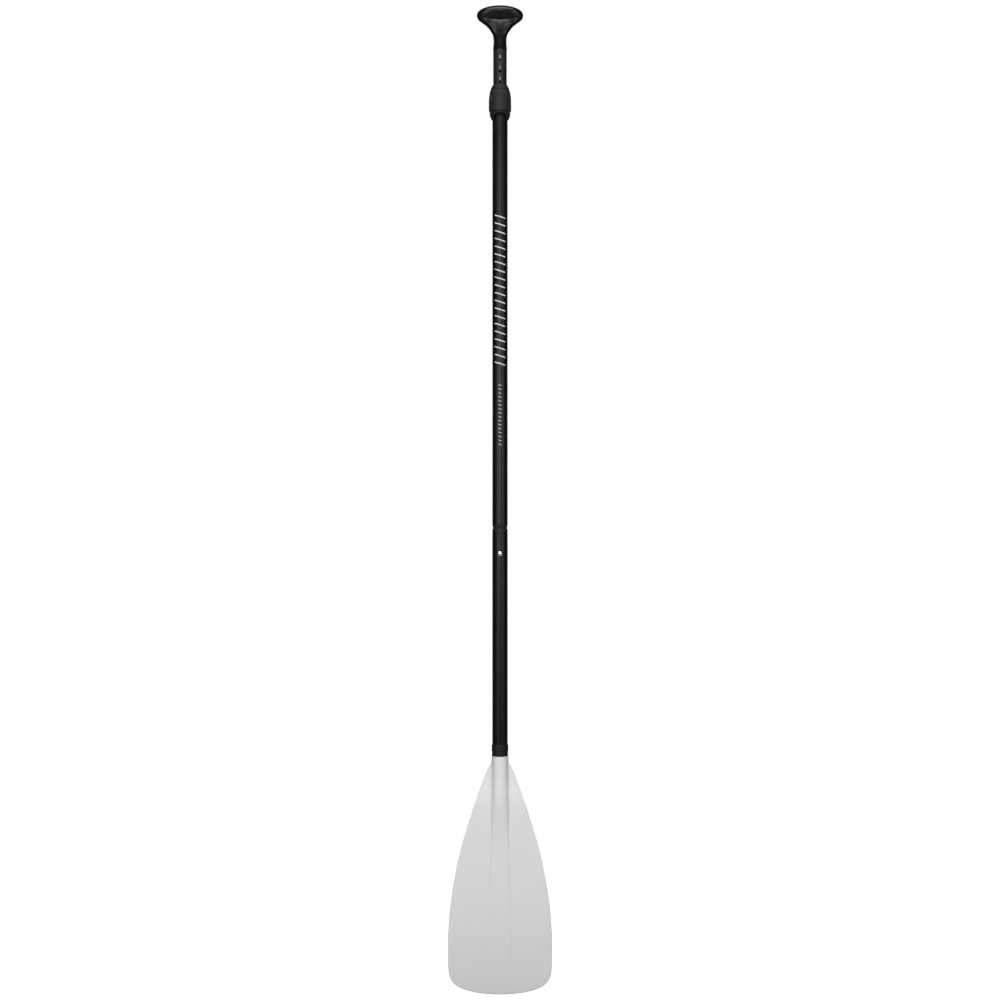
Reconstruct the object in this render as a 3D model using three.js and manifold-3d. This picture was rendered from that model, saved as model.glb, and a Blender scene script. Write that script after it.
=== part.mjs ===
// Adjustable three-piece paddle for a stand-up board, in millimetres, +Z up along the shaft.
// The origin is on the shaft's axis where the two shafts meet. The blade hangs below it and the palm
// grip is above. The power face looks along -Y, and the blade's tip leans towards +Y.
import * as THREE from "three";
import { mergeVertices } from "three/addons/utils/BufferGeometryUtils.js";
import Module from "manifold-3d";

const wasm = await Module();
wasm.setup();

// driving dimensions
const gap = 0.3; // left between pieces that touch
const shaftRadius = 14;
const shaftBore = 12.7;
const handleRadius = shaftBore - gap;
const handleWall = 1.3;
const holePitch = 20;
const holeCount = 19;
const topHole = 853.5;
const indexHeight = topHole - 3 * holePitch; // the hole that the index pin is in

const seamGap = 0.5; // half the slit between the two shafts' ferrules
const ferruleHeight = 7;
const ferruleLip = 13.15;
const spigotReach = 86; // how far the spigot goes into the lower shaft
const spigotGrip = 58; // how far it goes up the upper shaft
const spigotWall = 2;

const buttonHeight = -46.5;
const buttonRadius = 4.5;
const buttonTip = 17;

const clampLow = 745.6;
const collarTop = 760.6;
const archTop = 757.6; // the arch cut through the collar's front
const archHalfWidth = 11;
const barrelLow = 761;
const barrelTop = 800.4;
const barrelRadius = 20.4;
const barrelShoulder = 776; // where the barrel starts to round in towards its top
const barrelRound = 42;
const clampTop = 809.5;
const coreRadius = 16.2; // the clamp's wall behind the lever
const shaftTop = 787;

const pivotAngle = 58; // degrees from the front towards +X
const pivotDistance = 17.4;
const knuckleRadius = 3;
const leverFreeEdge = -39.2;
const leverRoot = 52;
const windowFrom = -40.4;
const windowTo = 74;
const lugTopOfLow = 767.6;
const lugBottomOfHigh = 789;
const pinReach = 794;
const screwDistance = 15.9; // of the tension screw behind the axis
const screwHeight = 781;
const slitFoot = 766;

const gripRim = 874.5;
const gripTop = 955.5;
const gripWidest = 937.5;
const gripHalfWidth = 42.5;
const gripHalfDepth = 21;

const bladeRim = -416.9; // the top of the blade's socket
const bladeTop = -419.8; // where the blade's lengths are measured from
const bladeLength = 451.8;
const bladeHalfWidth = 96.9;
const bladeWidestAt = 360; // below the blade's top
const neckRadius = 15.3;
const socketRadius = shaftRadius + gap;
const socketDepth = 55;
const bladeLean = Math.tan(THREE.MathUtils.degToRad(10));
const bladeBend = [46, 106]; // the stretch below the blade's top over which it bends back

const roundSides = 32;
const smallSides = 12;

const rivetHoleRadius = 2.3;
const spigotRivets = [22, 42]; // heights
const clampRivet = 756;
const gripRivet = 862;
const bladeRivet = bladeTop - 22;

const finishes = {
  paintedShaft: { color: 0x1b1c1f, roughness: 0.42, metalness: 0.3 },
  anodised: { color: 0x26272b, roughness: 0.4, metalness: 0.6 },
  blackNylon: { color: 0x1d1e20, roughness: 0.5, metalness: 0 },
  gripPlastic: { color: 0x191a1c, roughness: 0.32, metalness: 0 },
  blackRubber: { color: 0x121213, roughness: 0.8, metalness: 0 },
  stainless: { color: 0xc9ccd0, roughness: 0.25, metalness: 1 },
  zincSteel: { color: 0xa9adb2, roughness: 0.4, metalness: 1 },
  foam: { color: 0x33363a, roughness: 0.95, metalness: 0 },
  whitePlastic: { color: 0xd6d8d7, roughness: 0.45, metalness: 0 },
};

const paddle = new THREE.Group();

function addPiece(name, geometry, finish) {
  const mesh = new THREE.Mesh(geometry, new THREE.MeshStandardMaterial(finishes[finish]));
  mesh.name = name;
  paddle.add(mesh);
  return mesh;
}

// A closed geometry as a solid for joining and cutting.
function solidOf(geometry) {
  const bare = geometry.clone();
  bare.deleteAttribute("normal");
  bare.deleteAttribute("uv");
  const merged = mergeVertices(bare, 1e-4);
  return new wasm.Manifold(
    new wasm.Mesh({
      numProp: 3,
      vertProperties: merged.attributes.position.array,
      triVerts: new Uint32Array(merged.index.array),
    }),
  );
}

function geometryOf(solid) {
  const mesh = solid.getMesh();
  const geometry = new THREE.BufferGeometry();
  geometry.setAttribute("position", new THREE.BufferAttribute(mesh.vertProperties, 3));
  geometry.setIndex(new THREE.BufferAttribute(mesh.triVerts, 1));
  geometry.computeVertexNormals();
  return geometry;
}

function cut(geometry, ...tools) {
  return geometryOf(tools.reduce((rest, tool) => rest.subtract(solidOf(tool)), solidOf(geometry)));
}

function join(geometry, ...more) {
  return geometryOf(more.reduce((whole, next) => whole.add(solidOf(next)), solidOf(geometry)));
}

function common(geometry, other) {
  return geometryOf(solidOf(geometry).intersect(solidOf(other)));
}

// A profile of [radius, height] pairs turned about the Z axis. It runs up the outside.
function turned(profile, sides = roundSides) {
  const points = profile.map(([radius, height]) => new THREE.Vector2(radius, height));
  return new THREE.LatheGeometry(points, sides).rotateX(Math.PI / 2);
}

function ring(inner, outer, low, high, sides = roundSides) {
  const profile = [
    [inner, low],
    [outer, low],
    [outer, high],
    [inner, high],
    [inner, low],
  ];
  return turned(profile, sides);
}

function disc(radius, low, high, sides = roundSides) {
  const profile = [
    [0, low],
    [radius, low],
    [radius, high],
    [0, high],
  ];
  return turned(profile, sides);
}

// A turned profile laid along the Y axis at a height, its heights becoming distances towards -Y.
function towardsFront(profile, height, sides = smallSides) {
  return turned(profile, sides)
    .rotateX(Math.PI / 2)
    .translate(0, 0, height);
}

function towardsBack(profile, height, sides = smallSides) {
  return towardsFront(profile, 0, sides)
    .rotateZ(Math.PI)
    .translate(0, 0, height);
}

function rod(radius, from, to) {
  return [
    [0, from],
    [radius, from],
    [radius, to],
    [0, to],
  ];
}

// A point at an angle from the front (-Y) towards +X.
function around(distance, degrees) {
  const angle = THREE.MathUtils.degToRad(degrees);
  return [distance * Math.sin(angle), -distance * Math.cos(angle)];
}

// An upright wedge of the space round the axis between two such angles.
function wedge(fromDegrees, toDegrees, low, high) {
  const reach = 40;
  const steps = 6;
  const corners = [new THREE.Vector2(0, 0)];
  for (let i = 0; i <= steps; i++) {
    const degrees = fromDegrees + ((toDegrees - fromDegrees) * i) / steps;
    corners.push(new THREE.Vector2(...around(reach, degrees)));
  }
  const outline = new THREE.Shape(corners);
  const block = new THREE.ExtrudeGeometry(outline, { depth: high - low, bevelEnabled: false });
  return block.translate(0, 0, low);
}

function box(width, depth, height, x, y, z) {
  return new THREE.BoxGeometry(width, depth, height).translate(x, y, z);
}

const [pivotX, pivotY] = around(pivotDistance, pivotAngle);

function atPivot(radius, low, high) {
  return disc(radius, low, high, smallSides).translate(pivotX, pivotY, 0);
}

// Lower section: shaft, ferrule, blade and what holds them together.

function makeLowerShaft() {
  const low = bladeTop - socketDepth;
  const high = -seamGap - ferruleHeight - gap;
  const tube = ring(shaftBore, shaftRadius, low, high);
  const buttonHole = towardsFront(rod(buttonRadius + gap, 10, 20), buttonHeight);
  const rivetHole = towardsBack(rod(rivetHoleRadius, 10, 20), bladeRivet);
  addPiece("lower_shaft", cut(tube, buttonHole, rivetHole), "paintedShaft");
}

// A plastic ring on the end of a shaft. Its outside draws in to a thin lip at the seam.
function makeFerrules() {
  const end = seamGap + ferruleHeight;
  const upper = [
    [shaftBore, seamGap],
    [ferruleLip, seamGap],
    [shaftRadius - 0.25, seamGap + 4.6],
    [shaftRadius, end],
    [shaftBore, end],
    [shaftBore, seamGap],
  ];
  addPiece("upper_ferrule", turned(upper), "blackNylon");
  const lower = [
    [shaftBore, -end],
    [shaftRadius, -end],
    [shaftRadius, -seamGap - 3],
    [shaftRadius - 0.3, -seamGap - 1.2],
    [ferruleLip, -seamGap],
    [shaftBore, -seamGap],
    [shaftBore, -end],
  ];
  addPiece("lower_ferrule", turned(lower), "blackNylon");
}

function makeBladeCollar() {
  const low = bladeRim + gap;
  const step = low + 8.5;
  const high = -395.5;
  const sleeve = [
    [socketRadius, low],
    [socketRadius + 0.1, low],
    [14.65, low + 1],
    [14.65, step],
    [socketRadius, step],
    [socketRadius, low],
  ];
  addPiece("blade_collar_sleeve", turned(sleeve), "blackRubber");
  const band = [
    [socketRadius, step + gap],
    [15.1, step + gap],
    [15.1, high - 0.5],
    [14.7, high],
    [socketRadius, high],
    [socketRadius, step + gap],
  ];
  addPiece("blade_collar_band", turned(band), "blackRubber");
}

function smoothStep(from, to, value) {
  return THREE.MathUtils.smoothstep(value, from, to);
}

// Half the blade's width at a distance below its top: a round neck, then wings that widen as a
// quarter of a sine wave, then a tip whose corners are a sixth-power curve.
function bladeWidth(down) {
  if (down > bladeWidestAt) {
    const t = (down - bladeWidestAt) / (bladeLength - bladeWidestAt);
    return bladeHalfWidth * Math.sqrt(Math.max(0, 1 - t ** 6));
  }
  const rise = 0.103 + (0.897 * down) / bladeWidestAt;
  const wing = bladeHalfWidth * Math.sin((Math.PI / 2) * rise) - 6.5 * Math.exp(-down / 18);
  return Math.max(neckRadius, wing);
}

// How far the blade's middle stands back from the shaft's axis.
function bladeOffset(down) {
  const [start, end] = bladeBend;
  const bent = THREE.MathUtils.clamp(down - start, 0, end - start);
  return bladeLean * (bent ** 2 / (2 * (end - start)) + Math.max(0, down - end));
}

// Half the thickness at a point: a thin plate with a spine on it. The spine is round at the neck
// and sinks to a low panel, and on the back it lasts further down.
function bladeThickness(down, across, isBack) {
  const plate = 2.4 - 0.6 * smoothStep(100, bladeLength, down);
  const low = (isBack ? 2.5 : 1.6) * (1 - smoothStep(150, isBack ? 400 : 415, down));
  const sunk = smoothStep(socketDepth + 1, isBack ? 350 : 172, down);
  const crest = THREE.MathUtils.lerp(neckRadius, plate + low, sunk);
  const spineHalf = THREE.MathUtils.lerp(neckRadius, 21.5, smoothStep(60, 390, down));
  const squareness = 2 + 2 * smoothStep(70, 160, down);
  const inside = Math.max(0, 1 - Math.abs(across / spineHalf) ** squareness);
  const edge = Math.sqrt(Math.max(0, 1 - (across / bladeWidth(down)) ** 6));
  const isRound = down < socketDepth + 1;
  const spine = isRound ? neckRadius * Math.sqrt(inside) : plate + (crest - plate) * Math.sqrt(inside);
  const wing = bladeWidth(down) > neckRadius ? plate * edge : 0;
  return isRound ? Math.max(spine, wing) : spine * edge;
}

// The blade's skin is a turned surface whose rings are reshaped to the blade's sections.
function bladeSkin() {
  const stations = [bladeTop - bladeRim];
  for (let i = 1; i <= 10; i++) stations.push(i * 12);
  for (let i = 1; i <= 7; i++) stations.push(120 + ((bladeWidestAt - 120) * i) / 7);
  for (let i = 1; i <= 8; i++) {
    const share = Math.sin((Math.PI / 2) * (i / 8));
    stations.push(bladeWidestAt + (bladeLength - bladeWidestAt) * share);
  }
  const profile = stations.map((down) => [1, -down]).reverse();
  profile[0][0] = 0;
  profile.push([0, bladeRim - bladeTop]);
  const skin = turned(profile, 36);
  const place = skin.attributes.position;
  for (let i = 0; i < place.count; i++) {
    const down = -place.getZ(i);
    const across = bladeWidth(down) * place.getX(i);
    const isBack = place.getY(i) > 0;
    const isEdge = Math.abs(place.getY(i)) < 1e-6;
    const thick = isEdge ? 0 : bladeThickness(down, across, isBack);
    place.setX(i, across);
    place.setY(i, bladeOffset(down) + (isBack ? thick : -thick));
    place.setZ(i, bladeTop - down);
  }
  return skin;
}

function makeBlade() {
  const socket = disc(socketRadius, bladeTop - socketDepth - gap, bladeTop + 5);
  const rivetHole = towardsBack(rod(rivetHoleRadius, 10, 30), bladeRivet);
  addPiece("blade", cut(bladeSkin(), socket, rivetHole), "whitePlastic");
  const rivet = [
    [0, 10.6],
    [3.2, 10.6],
    [3.2, 12.2],
    [2, 12.2],
    [2, 15.7],
    [3.6, 15.7],
    [2.4, 16.8],
    [0, 17.1],
  ];
  addPiece("blade_rivet", towardsBack(rivet, bladeRivet), "stainless");
}

function makeSeals() {
  const sealRadius = shaftBore - gap;
  const bungs = [
    ["shaft_end_seal", bladeTop - socketDepth + 1, 15],
    ["lower_seal_bung", -140, 25],
    ["upper_seal_bung", spigotGrip + 6, 25],
  ];
  for (const [name, low, height] of bungs) {
    const profile = [
      [0, low],
      [sealRadius - 1, low],
      [sealRadius, low + 1],
      [sealRadius, low + height - 1],
      [sealRadius - 1, low + height],
      [0, low + height],
    ];
    addPiece(name, turned(profile), name === "shaft_end_seal" ? "blackNylon" : "foam");
  }
}

// Upper section: shaft, spigot, snap button and clamp.

function makeUpperShaft() {
  const tube = ring(shaftBore, shaftRadius, seamGap + ferruleHeight + gap, shaftTop);
  const holes = spigotRivets.map((height) => towardsBack(rod(rivetHoleRadius, 10, 20), height));
  const clampHole = towardsBack(rod(rivetHoleRadius, 10, 20), clampRivet);
  addPiece("upper_shaft", cut(tube, ...holes, clampHole), "paintedShaft");
}

function makeSpigot() {
  const outer = shaftBore - gap;
  const inner = outer - spigotWall;
  const profile = [
    [inner, -spigotReach],
    [outer - 1.4, -spigotReach],
    [outer, -spigotReach + 3],
    [outer, spigotGrip],
    [inner, spigotGrip],
    [inner, -spigotReach],
  ];
  const buttonHole = towardsFront(rod(buttonRadius + gap, 5, 20), buttonHeight);
  const rivetHoles = spigotRivets.map((height) => towardsBack(rod(rivetHoleRadius, 5, 20), height));
  addPiece("spigot", cut(turned(profile), buttonHole, ...rivetHoles), "blackNylon");
  const rivet = [
    [0, 8.6],
    [3.2, 8.6],
    [3, 9.9],
    [2, 10],
    [2, 14.25],
    [3.6, 14.25],
    [2.6, 15.1],
    [0, 15.3],
  ];
  addPiece("spigot_rivet_low", towardsBack(rivet, spigotRivets[0]), "zincSteel");
  addPiece("spigot_rivet_high", towardsBack(rivet, spigotRivets[1]), "zincSteel");
}

// The button's dome stands out through the spigot and the lower shaft. Its foot stays inside.
function makeSnapButton() {
  const foot = 5.6;
  const profile = [
    [0, 7.2],
    [foot, 7.2],
    [foot, 8.3],
    [buttonRadius, 8.3],
    [buttonRadius, buttonTip - 1.6],
    [buttonRadius - 0.7, buttonTip - 0.6],
    [buttonRadius - 2.2, buttonTip - 0.1],
    [0, buttonTip],
  ];
  addPiece("snap_button", towardsFront(profile, buttonHeight, 16), "stainless");
}

// A leaf spring bent into a U. One leg pushes the button and the other leans on the spigot's back.
function makeButtonSpring() {
  const thick = 0.6;
  const width = 7;
  const legFront = -6.3;
  const legBack = 9.2;
  const bendHeight = -14;
  const middle = (legFront + legBack) / 2;
  const radius = (legBack - legFront) / 2;
  const strip = new THREE.Shape();
  strip.moveTo(legFront - thick, buttonHeight - 6);
  strip.lineTo(legFront - thick, bendHeight);
  strip.absarc(middle - thick / 2, bendHeight, radius + thick / 2, Math.PI, 0, true);
  strip.lineTo(legBack, buttonHeight - 14);
  strip.lineTo(legBack - thick, buttonHeight - 14);
  strip.lineTo(legBack - thick, bendHeight);
  strip.absarc(middle - thick / 2, bendHeight, radius - thick / 2, 0, Math.PI, false);
  strip.lineTo(legFront, buttonHeight - 6);
  const options = { depth: width, bevelEnabled: false, curveSegments: 8 };
  const spring = new THREE.ExtrudeGeometry(strip, options)
    .translate(0, 0, -width / 2)
    .rotateX(Math.PI / 2)
    .rotateZ(Math.PI / 2);
  addPiece("button_spring", spring, "stainless");
}

// The barrel's outside: straight, then rounding in like a dome towards the top.
function barrelOutside(height) {
  const t = Math.max(0, height - barrelShoulder) / barrelRound;
  return barrelRadius * Math.sqrt(1 - t ** 2.5);
}

function barrelProfile(low, high) {
  const steps = 8;
  const points = [
    [barrelRadius - 0.9, low],
    [barrelRadius - 0.15, low + 1.4],
    [barrelRadius, low + 6],
  ];
  for (let i = 0; i <= steps; i++) {
    const height = barrelShoulder + ((high - barrelShoulder) * i) / steps;
    points.push([barrelOutside(height), height]);
  }
  return points;
}

function barrel(inner) {
  const outside = barrelProfile(barrelLow, barrelTop);
  return turned([[inner, barrelLow], ...outside, [inner, barrelTop], [inner, barrelLow]], 48);
}

function makeClampBody() {
  const skirt = ring(shaftRadius + gap, coreRadius - 0.4, 752.5, barrelLow + 1);
  let body = join(barrel(shaftBore), skirt);
  const shaftSeat = disc(shaftRadius + gap, barrelLow - 20, shaftTop + gap);
  const behindLever = cut(
    wedge(windowFrom, windowTo, barrelLow - 1, barrelTop + 1),
    disc(coreRadius, barrelLow - 2, barrelTop + 2, 48),
  );
  const knuckleRoom = atPivot(knuckleRadius + gap, lugTopOfLow, lugBottomOfHigh);
  const pinSlot = box(9.4, 12, 7, 1.6, -16, indexHeight);
  const slit = box(1.8, 12, barrelTop - slitFoot + 2, 0, 18, (barrelTop + slitFoot) / 2 + 1);
  const thumbNotch = new THREE.SphereGeometry(5.2, 16, 10)
    .scale(0.8, 1, 1.2)
    .translate(...around(22.8, windowFrom - 6), 786);
  const rivetHole = towardsBack(rod(rivetHoleRadius, 10, 18), clampRivet);
  const screwHole = acrossBack(rod(1.75, -30, 30));
  const headPocket = acrossBack(rod(3.1, 8, 30), 20);
  const nutPocket = acrossBack(rod(3.5, -30, -5.6), 6);
  body = cut(body, shaftSeat, behindLever);
  const lugs = common(
    join(atPivot(knuckleRadius, barrelLow, lugTopOfLow), atPivot(knuckleRadius, lugBottomOfHigh, barrelTop)),
    barrel(shaftRadius + gap),
  );
  body = join(body, lugs);
  const pinHole = atPivot(1.5, barrelLow - 1, pinReach + gap);
  const more = [knuckleRoom, pinSlot, slit, thumbNotch, rivetHole, screwHole, headPocket, nutPocket];
  addPiece("clamp_body", cut(body, pinHole, ...more), "blackNylon");
}

// A turned profile laid along X behind the handle tube, its heights becoming distances towards -X.
function acrossBack(profile, sides = smallSides) {
  return turned(profile, sides)
    .rotateZ(Math.PI / 6)
    .rotateY(-Math.PI / 2)
    .translate(0, screwDistance, screwHeight);
}

function makeClampLever() {
  const cover = wedge(leverFreeEdge, leverRoot, barrelLow - 1, barrelTop + 1);
  const front = common(barrel(coreRadius + gap), cover);
  const knuckleBlank = atPivot(knuckleRadius, lugTopOfLow + gap, lugBottomOfHigh - gap);
  const knuckle = common(knuckleBlank, barrel(shaftRadius));
  const room = knuckleRadius + gap;
  const belowKnuckle = atPivot(room, barrelLow - 1, lugTopOfLow + gap);
  const aboveKnuckle = atPivot(room, lugBottomOfHigh - gap, barrelTop + 1);
  const pinHole = atPivot(1.6, barrelLow - 1, barrelTop + 1);
  const indexHole = towardsFront(rod(2.4, 14, 18.4), indexHeight);
  const lever = cut(join(cut(front, belowKnuckle, aboveKnuckle), knuckle), pinHole, indexHole);
  addPiece("clamp_lever", lever, "blackNylon");
  addPiece("lever_pivot_pin", atPivot(1.3, barrelLow + gap, pinReach), "stainless");
  const pin = [
    [0, 11.5],
    [1.6, 11.5],
    [2.1, 12.1],
    [2.1, 18.1],
    [0, 18.1],
  ];
  addPiece("index_pin", towardsFront(pin, indexHeight), "stainless");
}

function makeTensionScrew() {
  const screw = [
    [0, -11.2],
    [1.4, -11.2],
    [1.4, 8.4],
    [2.7, 8.4],
    [2.7, 10.9],
    [2.4, 11.2],
    [0, 11.2],
  ];
  const socket = acrossBack(rod(1.4, 9.4, 12), 6);
  addPiece("tension_screw", cut(acrossBack(screw), socket), "stainless");
  const nut = cut(acrossBack(rod(3.1, -8.4, -6), 6), acrossBack(rod(1.7, -20, 0)));
  addPiece("tension_nut", nut, "zincSteel");
}

// An arch that stands along the shaft, open at its foot and reaching forward from the axis.
function frontArch() {
  const steps = 12;
  const corners = [new THREE.Vector2(-archHalfWidth, -4), new THREE.Vector2(archHalfWidth, -4)];
  for (let i = 0; i <= steps; i++) {
    const turn = (Math.PI * i) / steps;
    const across = Math.sign(Math.cos(turn)) * Math.sqrt(Math.abs(Math.cos(turn)));
    const up = (archTop - clampLow) * Math.sqrt(Math.abs(Math.sin(turn)));
    corners.push(new THREE.Vector2(archHalfWidth * across, up));
  }
  const block = new THREE.ExtrudeGeometry(new THREE.Shape(corners), { depth: 24, bevelEnabled: false });
  return block.rotateX(Math.PI / 2).translate(0, 0, clampLow);
}

function makeClampRings() {
  const collar = [
    [shaftRadius + gap, clampLow + 0.9],
    [14.6, clampLow],
    [15.9, 747.6],
    [17.9, 751.6],
    [18.5, 754.2],
    [18.8, collarTop - 1],
    [18.3, collarTop],
    [coreRadius - 0.1, collarTop],
    [coreRadius - 0.1, 752.2],
    [shaftRadius + gap, 752.2],
    [shaftRadius + gap, clampLow + 0.9],
  ];
  addPiece("clamp_collar", cut(turned(collar, 40), frontArch()), "blackNylon");
  const low = barrelTop + 0.5;
  const lip = [
    [shaftBore, low],
    [barrelOutside(low) - 0.3, low],
    [barrelOutside(low + 3), low + 3],
    [barrelOutside(low + 6), low + 6],
    [13.6, clampTop - 0.4],
    [13.2, clampTop],
    [shaftBore, clampTop],
    [shaftBore, low],
  ];
  addPiece("wiper_ring", turned(lip, 40), "blackRubber");
  addPiece("clamp_rivet", towardsBack(rod(2, 12.85, 15.7), clampRivet), "zincSteel");
}

// Handle: tube with its row of holes, palm grip and what is inside the tube.

function makeHandleTube() {
  const low = 346.5;
  const tube = ring(handleRadius - handleWall, handleRadius, low, gripRim - gap);
  const holes = [];
  for (let i = 0; i < holeCount; i++) {
    holes.push(towardsFront(rod(2.9, 8, 16), topHole - i * holePitch, 10));
  }
  const rivetHole = towardsBack(rod(rivetHoleRadius, 8, 16), gripRivet);
  addPiece("handle_tube", cut(tube, ...holes, rivetHole), "anodised");
  const bush = [
    [0, low - 9],
    [handleRadius - 1, low - 9],
    [handleRadius, low - 7.5],
    [handleRadius, low - gap],
    [handleRadius - handleWall - gap, low - gap],
    [handleRadius - handleWall - gap, low + 20],
    [0, low + 20],
  ];
  addPiece("guide_bush", turned(bush), "blackNylon");
  addPiece("grip_rivet", towardsBack(rod(2, 8, 12), gripRivet), "zincSteel");
}

// Half the grip's width and depth at each height, as smooth curves through a few points.
function gripSections() {
  const points = [
    [gripRim, 12.85, 12.85],
    [880, 12.4, 12.4],
    [891.5, 11.9, 11.9],
    [902.5, 13.6, 12],
    [910, 18, 13],
    [918, 24.8, 15],
    [925, 34.3, 18],
    [930.5, 40.4, 20],
  ];
  const curve = new THREE.CatmullRomCurve3(points.map(([z, a, b]) => new THREE.Vector3(a, b, z)));
  const sections = curve.getPoints(14).map((p) => [p.z, p.x, p.y]);
  const steps = 7;
  for (let i = 0; i <= steps; i++) {
    const t = Math.sin((Math.PI / 2) * (i / steps));
    const share = Math.sqrt(Math.max(0, 1 - t ** 2.2));
    const height = THREE.MathUtils.lerp(gripWidest, gripTop, t);
    sections.push([height, gripHalfWidth * share, gripHalfDepth * share]);
  }
  return sections;
}

function gripSkin() {
  const sections = gripSections();
  const profile = sections.map(([height]) => [1, height]);
  profile[profile.length - 1][0] = 0;
  profile.unshift([0, gripRim]);
  const skin = turned(profile, 32);
  const place = skin.attributes.position;
  for (let i = 0; i < place.count; i++) {
    const height = place.getZ(i);
    const nearest = sections.find((section) => Math.abs(section[0] - height) < 1e-3);
    place.setX(i, place.getX(i) * nearest[1]);
    place.setY(i, place.getY(i) * nearest[2]);
  }
  return skin;
}

function makePalmGrip() {
  const stem = disc(handleRadius - handleWall - gap, gripRim - 40, gripRim + 2);
  const core = turned([
    [0, gripRim - 41],
    [5, gripRim - 41],
    [5, 925],
    [3, 930],
    [0, 932],
  ]);
  const pinWay = box(8, 6, 60, 0, -10.5, gripRim - 30.2);
  const rivetHole = towardsBack(rod(rivetHoleRadius, 3, 16), gripRivet);
  addPiece("palm_grip", cut(join(gripSkin(), stem), core, pinWay, rivetHole), "gripPlastic");
}

makeLowerShaft();
makeFerrules();
makeBladeCollar();
makeBlade();
makeSeals();
makeUpperShaft();
makeSpigot();
makeSnapButton();
makeButtonSpring();
makeClampBody();
makeClampLever();
makeTensionScrew();
makeClampRings();
makeHandleTube();
makePalmGrip();

export default paddle;
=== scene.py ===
# Adjustable stand-up board paddle: smooth skins over the fixed frame, their finishes, and a plain studio.
# Lengths are in millimetres until a mesh is made. Angles go from the front (-Y) towards +X, in degrees.
import math

import bmesh
import bpy
import numpy as np
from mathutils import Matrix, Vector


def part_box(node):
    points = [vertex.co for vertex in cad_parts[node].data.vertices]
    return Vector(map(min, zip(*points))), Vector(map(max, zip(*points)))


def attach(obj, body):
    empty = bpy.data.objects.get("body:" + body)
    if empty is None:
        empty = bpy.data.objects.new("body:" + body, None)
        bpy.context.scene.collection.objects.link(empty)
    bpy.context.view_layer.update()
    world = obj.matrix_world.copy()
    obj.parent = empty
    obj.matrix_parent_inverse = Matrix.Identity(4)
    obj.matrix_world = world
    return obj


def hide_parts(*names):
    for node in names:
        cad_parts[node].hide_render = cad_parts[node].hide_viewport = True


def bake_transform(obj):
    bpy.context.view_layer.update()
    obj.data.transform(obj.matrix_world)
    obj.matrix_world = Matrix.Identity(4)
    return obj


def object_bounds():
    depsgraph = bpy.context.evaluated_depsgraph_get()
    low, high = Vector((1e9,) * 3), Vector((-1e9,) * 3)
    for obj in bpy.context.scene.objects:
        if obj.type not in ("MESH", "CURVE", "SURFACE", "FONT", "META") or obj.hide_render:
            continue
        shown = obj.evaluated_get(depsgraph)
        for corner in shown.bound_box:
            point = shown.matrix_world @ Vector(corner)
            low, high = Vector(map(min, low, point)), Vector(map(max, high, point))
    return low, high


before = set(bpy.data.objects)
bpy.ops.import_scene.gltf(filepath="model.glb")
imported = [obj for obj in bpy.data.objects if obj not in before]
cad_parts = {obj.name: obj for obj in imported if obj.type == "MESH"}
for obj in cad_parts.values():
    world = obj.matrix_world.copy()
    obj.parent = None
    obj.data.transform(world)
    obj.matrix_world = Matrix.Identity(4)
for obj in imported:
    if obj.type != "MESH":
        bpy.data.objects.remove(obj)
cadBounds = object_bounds()
mm = 0.001
tiny = 1e-4

print("frame loaded:", len(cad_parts), "nodes")


def edgesOf(node):  # a node's lowest and highest corners, in millimetres
    low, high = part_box(node)
    return np.array(low) / mm, np.array(high) / mm


def heightsOf(node):
    low, high = edgesOf(node)
    return low[2], high[2]


def radiusOf(node):
    low, high = edgesOf(node)
    return (high[0] - low[0]) / 2


class Wire:  # one output of a node, with + - * / and < > that add Math nodes
    def __init__(self, finish, socket):
        self.finish = finish
        self.socket = socket

    def math(self, operation, *values):
        return self.finish.node("ShaderNodeMath", {"operation": operation}, dict(enumerate(values)))

    def __add__(self, other):
        return self.math("ADD", self, other)

    def __radd__(self, other):
        return self.math("ADD", other, self)

    def __sub__(self, other):
        return self.math("SUBTRACT", self, other)

    def __rsub__(self, other):
        return self.math("SUBTRACT", other, self)

    def __mul__(self, other):
        return self.math("MULTIPLY", self, other)

    def __rmul__(self, other):
        return self.math("MULTIPLY", other, self)

    def __truediv__(self, other):
        return self.math("DIVIDE", self, other)

    def __rtruediv__(self, other):
        return self.math("DIVIDE", other, self)

    def __lt__(self, other):
        return self.math("LESS_THAN", self, other)

    def __gt__(self, other):
        return self.math("GREATER_THAN", self, other)

    def size(self):
        return self.math("ABSOLUTE", self)

    def part(self):
        return self.math("FRACT", self)

    def over(self, low, high):  # 0 below low, 1 above high, smooth between
        settings = {"interpolation_type": "SMOOTHSTEP", "clamp": True}
        values = {"Value": self, "From Min": low, "From Max": high}
        return self.finish.node("ShaderNodeMapRange", settings, values)


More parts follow.
